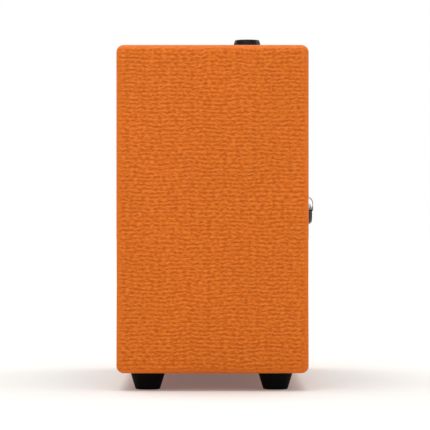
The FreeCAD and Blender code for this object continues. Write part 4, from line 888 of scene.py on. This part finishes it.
def makePine():
    # sawn pine: rings 2.5 mm apart along Z, blurred by grain
    material, tree, shader = newMaterial("sawn_pine", Specular_IOR_Level=0.3)
    place = addNode(tree, "TexCoord").outputs["Object"]
    rings = addNode(tree, "TexWave", {"wave_type": "RINGS", "rings_direction": "Z"}, {
        "Vector": place, "Scale": 1000 / 2.5 / 20, "Distortion": 2.5, "Detail": 3.0, "Detail Scale": 1.6,
    })
    ramp = blendColours(tree, rings.outputs["Fac"], [(0.1, "#b98f57"), (0.55, "#dcb981"), (0.95, "#e8cb98")])
    tree.links.new(ramp.outputs["Color"], shader.inputs["Base Color"])
    tree.links.new(spread(tree, rings.outputs["Fac"], 0.62, 0.8).outputs[0], shader.inputs["Roughness"])
    bump = addNode(tree, "Bump", {}, {"Height": rings.outputs["Fac"], "Strength": 1.0, "Distance": 0.05 * mm})
    tree.links.new(bump.outputs[0], shader.inputs["Normal"])
    return material


def makeCircuitBoard():
    # glass-epoxy under green solder mask, glossy: copper tracks show through as paler lines round cells
    # 3.2 mm across
    material, tree, shader = newMaterial("green_circuit_board", IOR=1.5)
    place = addNode(tree, "TexCoord").outputs["Object"]
    tracks = addNode(tree, "TexVoronoi", {"feature": "DISTANCE_TO_EDGE"}, {"Vector": place, "Scale": 1000 / 3.2})
    ramp = blendColours(tree, tracks.outputs["Distance"], [(0.02, "#2f7a45"), (0.08, "#0f4724"), (0.6, "#0c3a1d")])
    tree.links.new(ramp.outputs["Color"], shader.inputs["Base Color"])
    weave = addNode(tree, "TexNoise", {}, {"Vector": place, "Scale": 1000 / 0.6, "Detail": 2.0})
    tree.links.new(spread(tree, weave.outputs["Fac"], 0.3, 0.45).outputs[0], shader.inputs["Roughness"])
    bump = addNode(tree, "Bump", {}, {
        "Height": tracks.outputs["Distance"], "Strength": 0.5, "Distance": 0.03 * mm,
    })
    tree.links.new(bump.outputs[0], shader.inputs["Normal"])
    return material


def makeWovenInner(name, dark, light, pitch):
    # cotton weave a pitch apart, dipped in resin: two crossed waves
    material, tree, shader = newMaterial(name, Specular_IOR_Level=0.3)
    place = addNode(tree, "TexCoord").outputs["Object"]
    waves = [
        addNode(tree, "TexWave", {"bands_direction": axis}, {
            "Vector": place, "Scale": 1000 / pitch / 20, "Distortion": 0.4,
        })
        for axis in ("X", "Z")
    ]
    both = mathNode(tree, "MULTIPLY", waves[0].outputs["Fac"], waves[1].outputs["Fac"])
    # darker in the hollows of the weave and paler where the threads cross, with the bump: painted shade
    ramp = blendColours(tree, both, [(0.0, dark), (0.6, light)])
    tree.links.new(ramp.outputs["Color"], shader.inputs["Base Color"])
    tree.links.new(spread(tree, both, 0.85, 0.65).outputs[0], shader.inputs["Roughness"])
    bump = addNode(tree, "Bump", {}, {"Height": both, "Strength": 1.0, "Distance": 0.1 * mm})
    tree.links.new(bump.outputs[0], shader.inputs["Normal"])
    return material


def makeBatteryCan():
    # printed steel can: graphite body with a silver band at the terminal end
    low, high = corners("battery")
    material, tree, shader = newMaterial("printed_steel_can", IOR=1.5)
    place = addNode(tree, "TexCoord").outputs["Object"]
    axes = addNode(tree, "SeparateXYZ", {}, {"Vector": place})
    along = addNode(tree, "MapRange", {}, {
        "Value": axes.outputs["X"], "From Min": float(low[0]), "From Max": float(high[0]),
    })
    ramp = blendColours(tree, along, [(0.0, "#23262b"), (0.72, "#c9ccd0"), (0.95, "#8e9296")])
    ramp.color_ramp.interpolation = "CONSTANT"
    speck = addNode(tree, "TexNoise", {}, {"Vector": place, "Scale": 1000 / 1.2, "Detail": 3.0})
    tint = addNode(tree, "HueSaturation", {}, {
        "Color": ramp.outputs["Color"], "Value": spread(tree, speck.outputs["Fac"], 0.9, 1.1),
    })
    tree.links.new(tint.outputs[0], shader.inputs["Base Color"])
    silver = mathNode(tree, "GREATER_THAN", along, 0.72)
    tree.links.new(silver.outputs[0], shader.inputs["Metallic"])
    tree.links.new(spread(tree, speck.outputs["Fac"], 0.28, 0.42).outputs[0], shader.inputs["Roughness"])
    return material


def makeLamp():
    # 3 mm lamp: tinted epoxy, lit
    material, tree, shader = newMaterial("tinted_epoxy_lamp", IOR=1.5, Emission_Strength=0.9, Coat_Weight=0.3)
    place = addNode(tree, "TexCoord").outputs["Object"]
    cloud = addNode(tree, "TexNoise", {}, {"Vector": place, "Scale": 1000 / 1.0, "Detail": 2.0})
    ramp = blendColours(tree, cloud.outputs["Fac"], [(0.35, "#b01008"), (0.65, "#ff3a20")])
    tree.links.new(ramp.outputs["Color"], shader.inputs["Base Color"])
    tree.links.new(ramp.outputs["Color"], shader.inputs["Emission Color"])
    tree.links.new(spread(tree, cloud.outputs["Fac"], 0.12, 0.25).outputs[0], shader.inputs["Roughness"])
    return material


def makeWinding():
    # enamelled copper wire 0.2 mm thick, wound round Y; drawn at 0.6 mm so that it shows
    material, tree, shader = newMaterial("enamelled_copper_wire", Metallic=1.0)
    place = addNode(tree, "TexCoord").outputs["Object"]
    turns = addNode(tree, "TexWave", {"bands_direction": "Y"}, {"Vector": place, "Scale": 1000 / 0.6 / 20})
    # darker in the grooves between turns and paler on their crowns, with the bump: painted shade and painted
    # highlight
    ramp = blendColours(tree, turns.outputs["Fac"], [(0.1, "#7c3a1c"), (0.7, "#d98a5a")])
    tree.links.new(ramp.outputs["Color"], shader.inputs["Base Color"])
    tree.links.new(spread(tree, turns.outputs["Fac"], 0.42, 0.25).outputs[0], shader.inputs["Roughness"])
    bump = addNode(tree, "Bump", {}, {"Height": turns.outputs["Fac"], "Strength": 1.0, "Distance": 0.08 * mm})
    tree.links.new(bump.outputs[0], shader.inputs["Normal"])
    return material


def finishNodes():
    # raw MDF: pale brown felted fibre, dead matt
    paint(
        mixedFinish("raw_fibreboard", ("#8b6f4e", "#a98a63", "#b99b74"), 1.4, (0.8, 0.95), 0.3, 0.04),
        "top_board", "bottom_board", "left_board", "right_board", "baffle_board",
    )
    paint(makePine(), "glue_blocks")
    # extruded PVC bead: ivory, satin, yellowed a little unevenly
    paint(
        mixedFinish("ivory_piping", ("#d9d2bd", "#e6e0cd"), 9.0, (0.3, 0.45), 0.8, 0.02, IOR=1.53),
        "grille_piping",
    )
    # perforated mild steel with black stove paint
    blackPaint = mixedFinish("black_stove_paint", ("#0c0c0c", "#191919"), 2.5, (0.35, 0.55), 0.5, 0.02)
    paint(blackPaint, "grille_guard", "speaker_basket")
    # glass-filled nylon, moulded: black, satin, faintly cloudy
    moulded = mixedFinish("moulded_black_nylon", ("#0d0d0d", "#1b1b1b"), 2.0, (0.45, 0.62), 0.4, 0.015, IOR=1.53)
    paint(moulded, "badge_plinth", "battery_snap", "input_jack_housing", "audio_sockets", "power_inlet")
    # spark-textured ABS, satin: its even pebble is drawn 0.7 mm across, twice the real one, so that it shows
    texturedAbs = mixedFinish("spark_textured_abs", ("#0a0a0b", "#252527"), 3.0, (0.42, 0.6), 0.7, 0.12, IOR=1.53)
    paint(texturedAbs, "back_panel")
    # plain moulded ABS: smoother and a little glossier than the panel round it
    trayAbs = mixedFinish("moulded_abs", ("#121213", "#1e1e1f"), 5.0, (0.38, 0.5), 0.6, 0.02, IOR=1.53)
    paint(trayAbs, "battery_tray", "battery_lid")
    # black zinc screws: dark grey metal, worn brighter in patches
    paint(
        makeBrushed("black_zinc_screws", ("#39393c", "#7d7d82"), (1, 1, 1), (0.28, 0.45)),
        "foot_screws", "back_panel_screws", "speaker_screws", "control_panel_screws",
    )
    # aluminium, brushed along X and clear anodised: hairlines long in X
    paint(
        makeBrushed("brushed_anodised_aluminium", ("#6c6e71", "#828487", "#96989b"), (0.04, 1.6, 1), (0.3, 0.45)),
        "control_panel",
    )
    # turned aluminium: pale, with fine tool marks round the shaft
    paint(
        makeBrushed("turned_aluminium", ("#b2b3b4", "#d3d4d5"), (1, 1, 3), (0.25, 0.4)),
        "gain_shaft", "tone_shaft", "volume_shaft",
    )
    # bright nickel plate: warm white metal, nearly a mirror
    paint(
        makeBrushed("bright_nickel_plate", ("#b9b5ab", "#d8d4ca"), (1, 1, 1), (0.1, 0.24), relief=0.004),
        "pot_nuts", "input_jack_bush", "input_jack_nut", "input_jack_contacts",
        "power_switch_nut", "power_switch_lever", "power_switch_body",
    )
    # pressed zinc-plated cases: dull grey, slightly mottled
    paint(
        makeBrushed("pressed_zinc_case", ("#8d8f8f", "#b4b6b5"), (1, 1, 1), (0.35, 0.5)),
        "gain_pot", "tone_pot", "volume_pot",
    )
    # spring steel: darker and bare
    paint(makeBrushed("spring_steel", ("#77797b", "#a3a5a7"), (1, 1, 1), (0.3, 0.45)), "badge_nuts")
    # zinc plate on turned steel: bluish white
    paint(
        makeBrushed("zinc_plated_steel", ("#8f9496", "#bcc0c1"), (1, 2.5, 1), (0.3, 0.48)),
        "magnet_front_plate", "magnet_pole",
    )
    paint(makeCircuitBoard(), "control_board")
    paint(makeLamp(), "power_lamp")
    # moulded epoxy: black-grey, dead matt
    paint(mixedFinish("moulded_epoxy", ("#101011", "#242426"), 1.5, (0.5, 0.7), 0.3, 0.02), "amplifier_chip")
    # pressed card and felted paper: fibrous, matt
    paint(mixedFinish("pressed_card", ("#2b2520", "#3d352d"), 2.0, (0.8, 0.95), 0.3, 0.05), "speaker_gasket")
    paint(
        mixedFinish("felted_paper_cone", ("#161615", "#2a2927"), 1.6, (0.75, 0.92), 0.35, 0.06),
        "speaker_cone", "speaker_dust_cap",
    )
    # doped cloth, black, and cotton dipped in amber resin
    paint(makeWovenInner("doped_cloth_surround", "#0e0e0e", "#232323", 0.8), "speaker_surround")
    paint(makeWovenInner("resin_dipped_cotton", "#94682a", "#cf9f55", 0.8), "speaker_spider")
    paint(makeWinding(), "voice_coil")
    # sintered ferrite: dark grey, granular, matt
    paint(mixedFinish("sintered_ferrite", ("#1f2022", "#34363a"), 0.8, (0.55, 0.75), 0.25, 0.03), "speaker_magnet")
    paint(makeBatteryCan(), "battery")
    # PVC insulation: smooth, waxy
    paint(mixedFinish("pvc_insulation", ("#8e1512", "#b3221b"), 6.0, (0.35, 0.5), 0.8, 0.01, IOR=1.53), "wiring")
    buildLidGrip(trayAbs)
    print("finishes applied")


finishNodes()
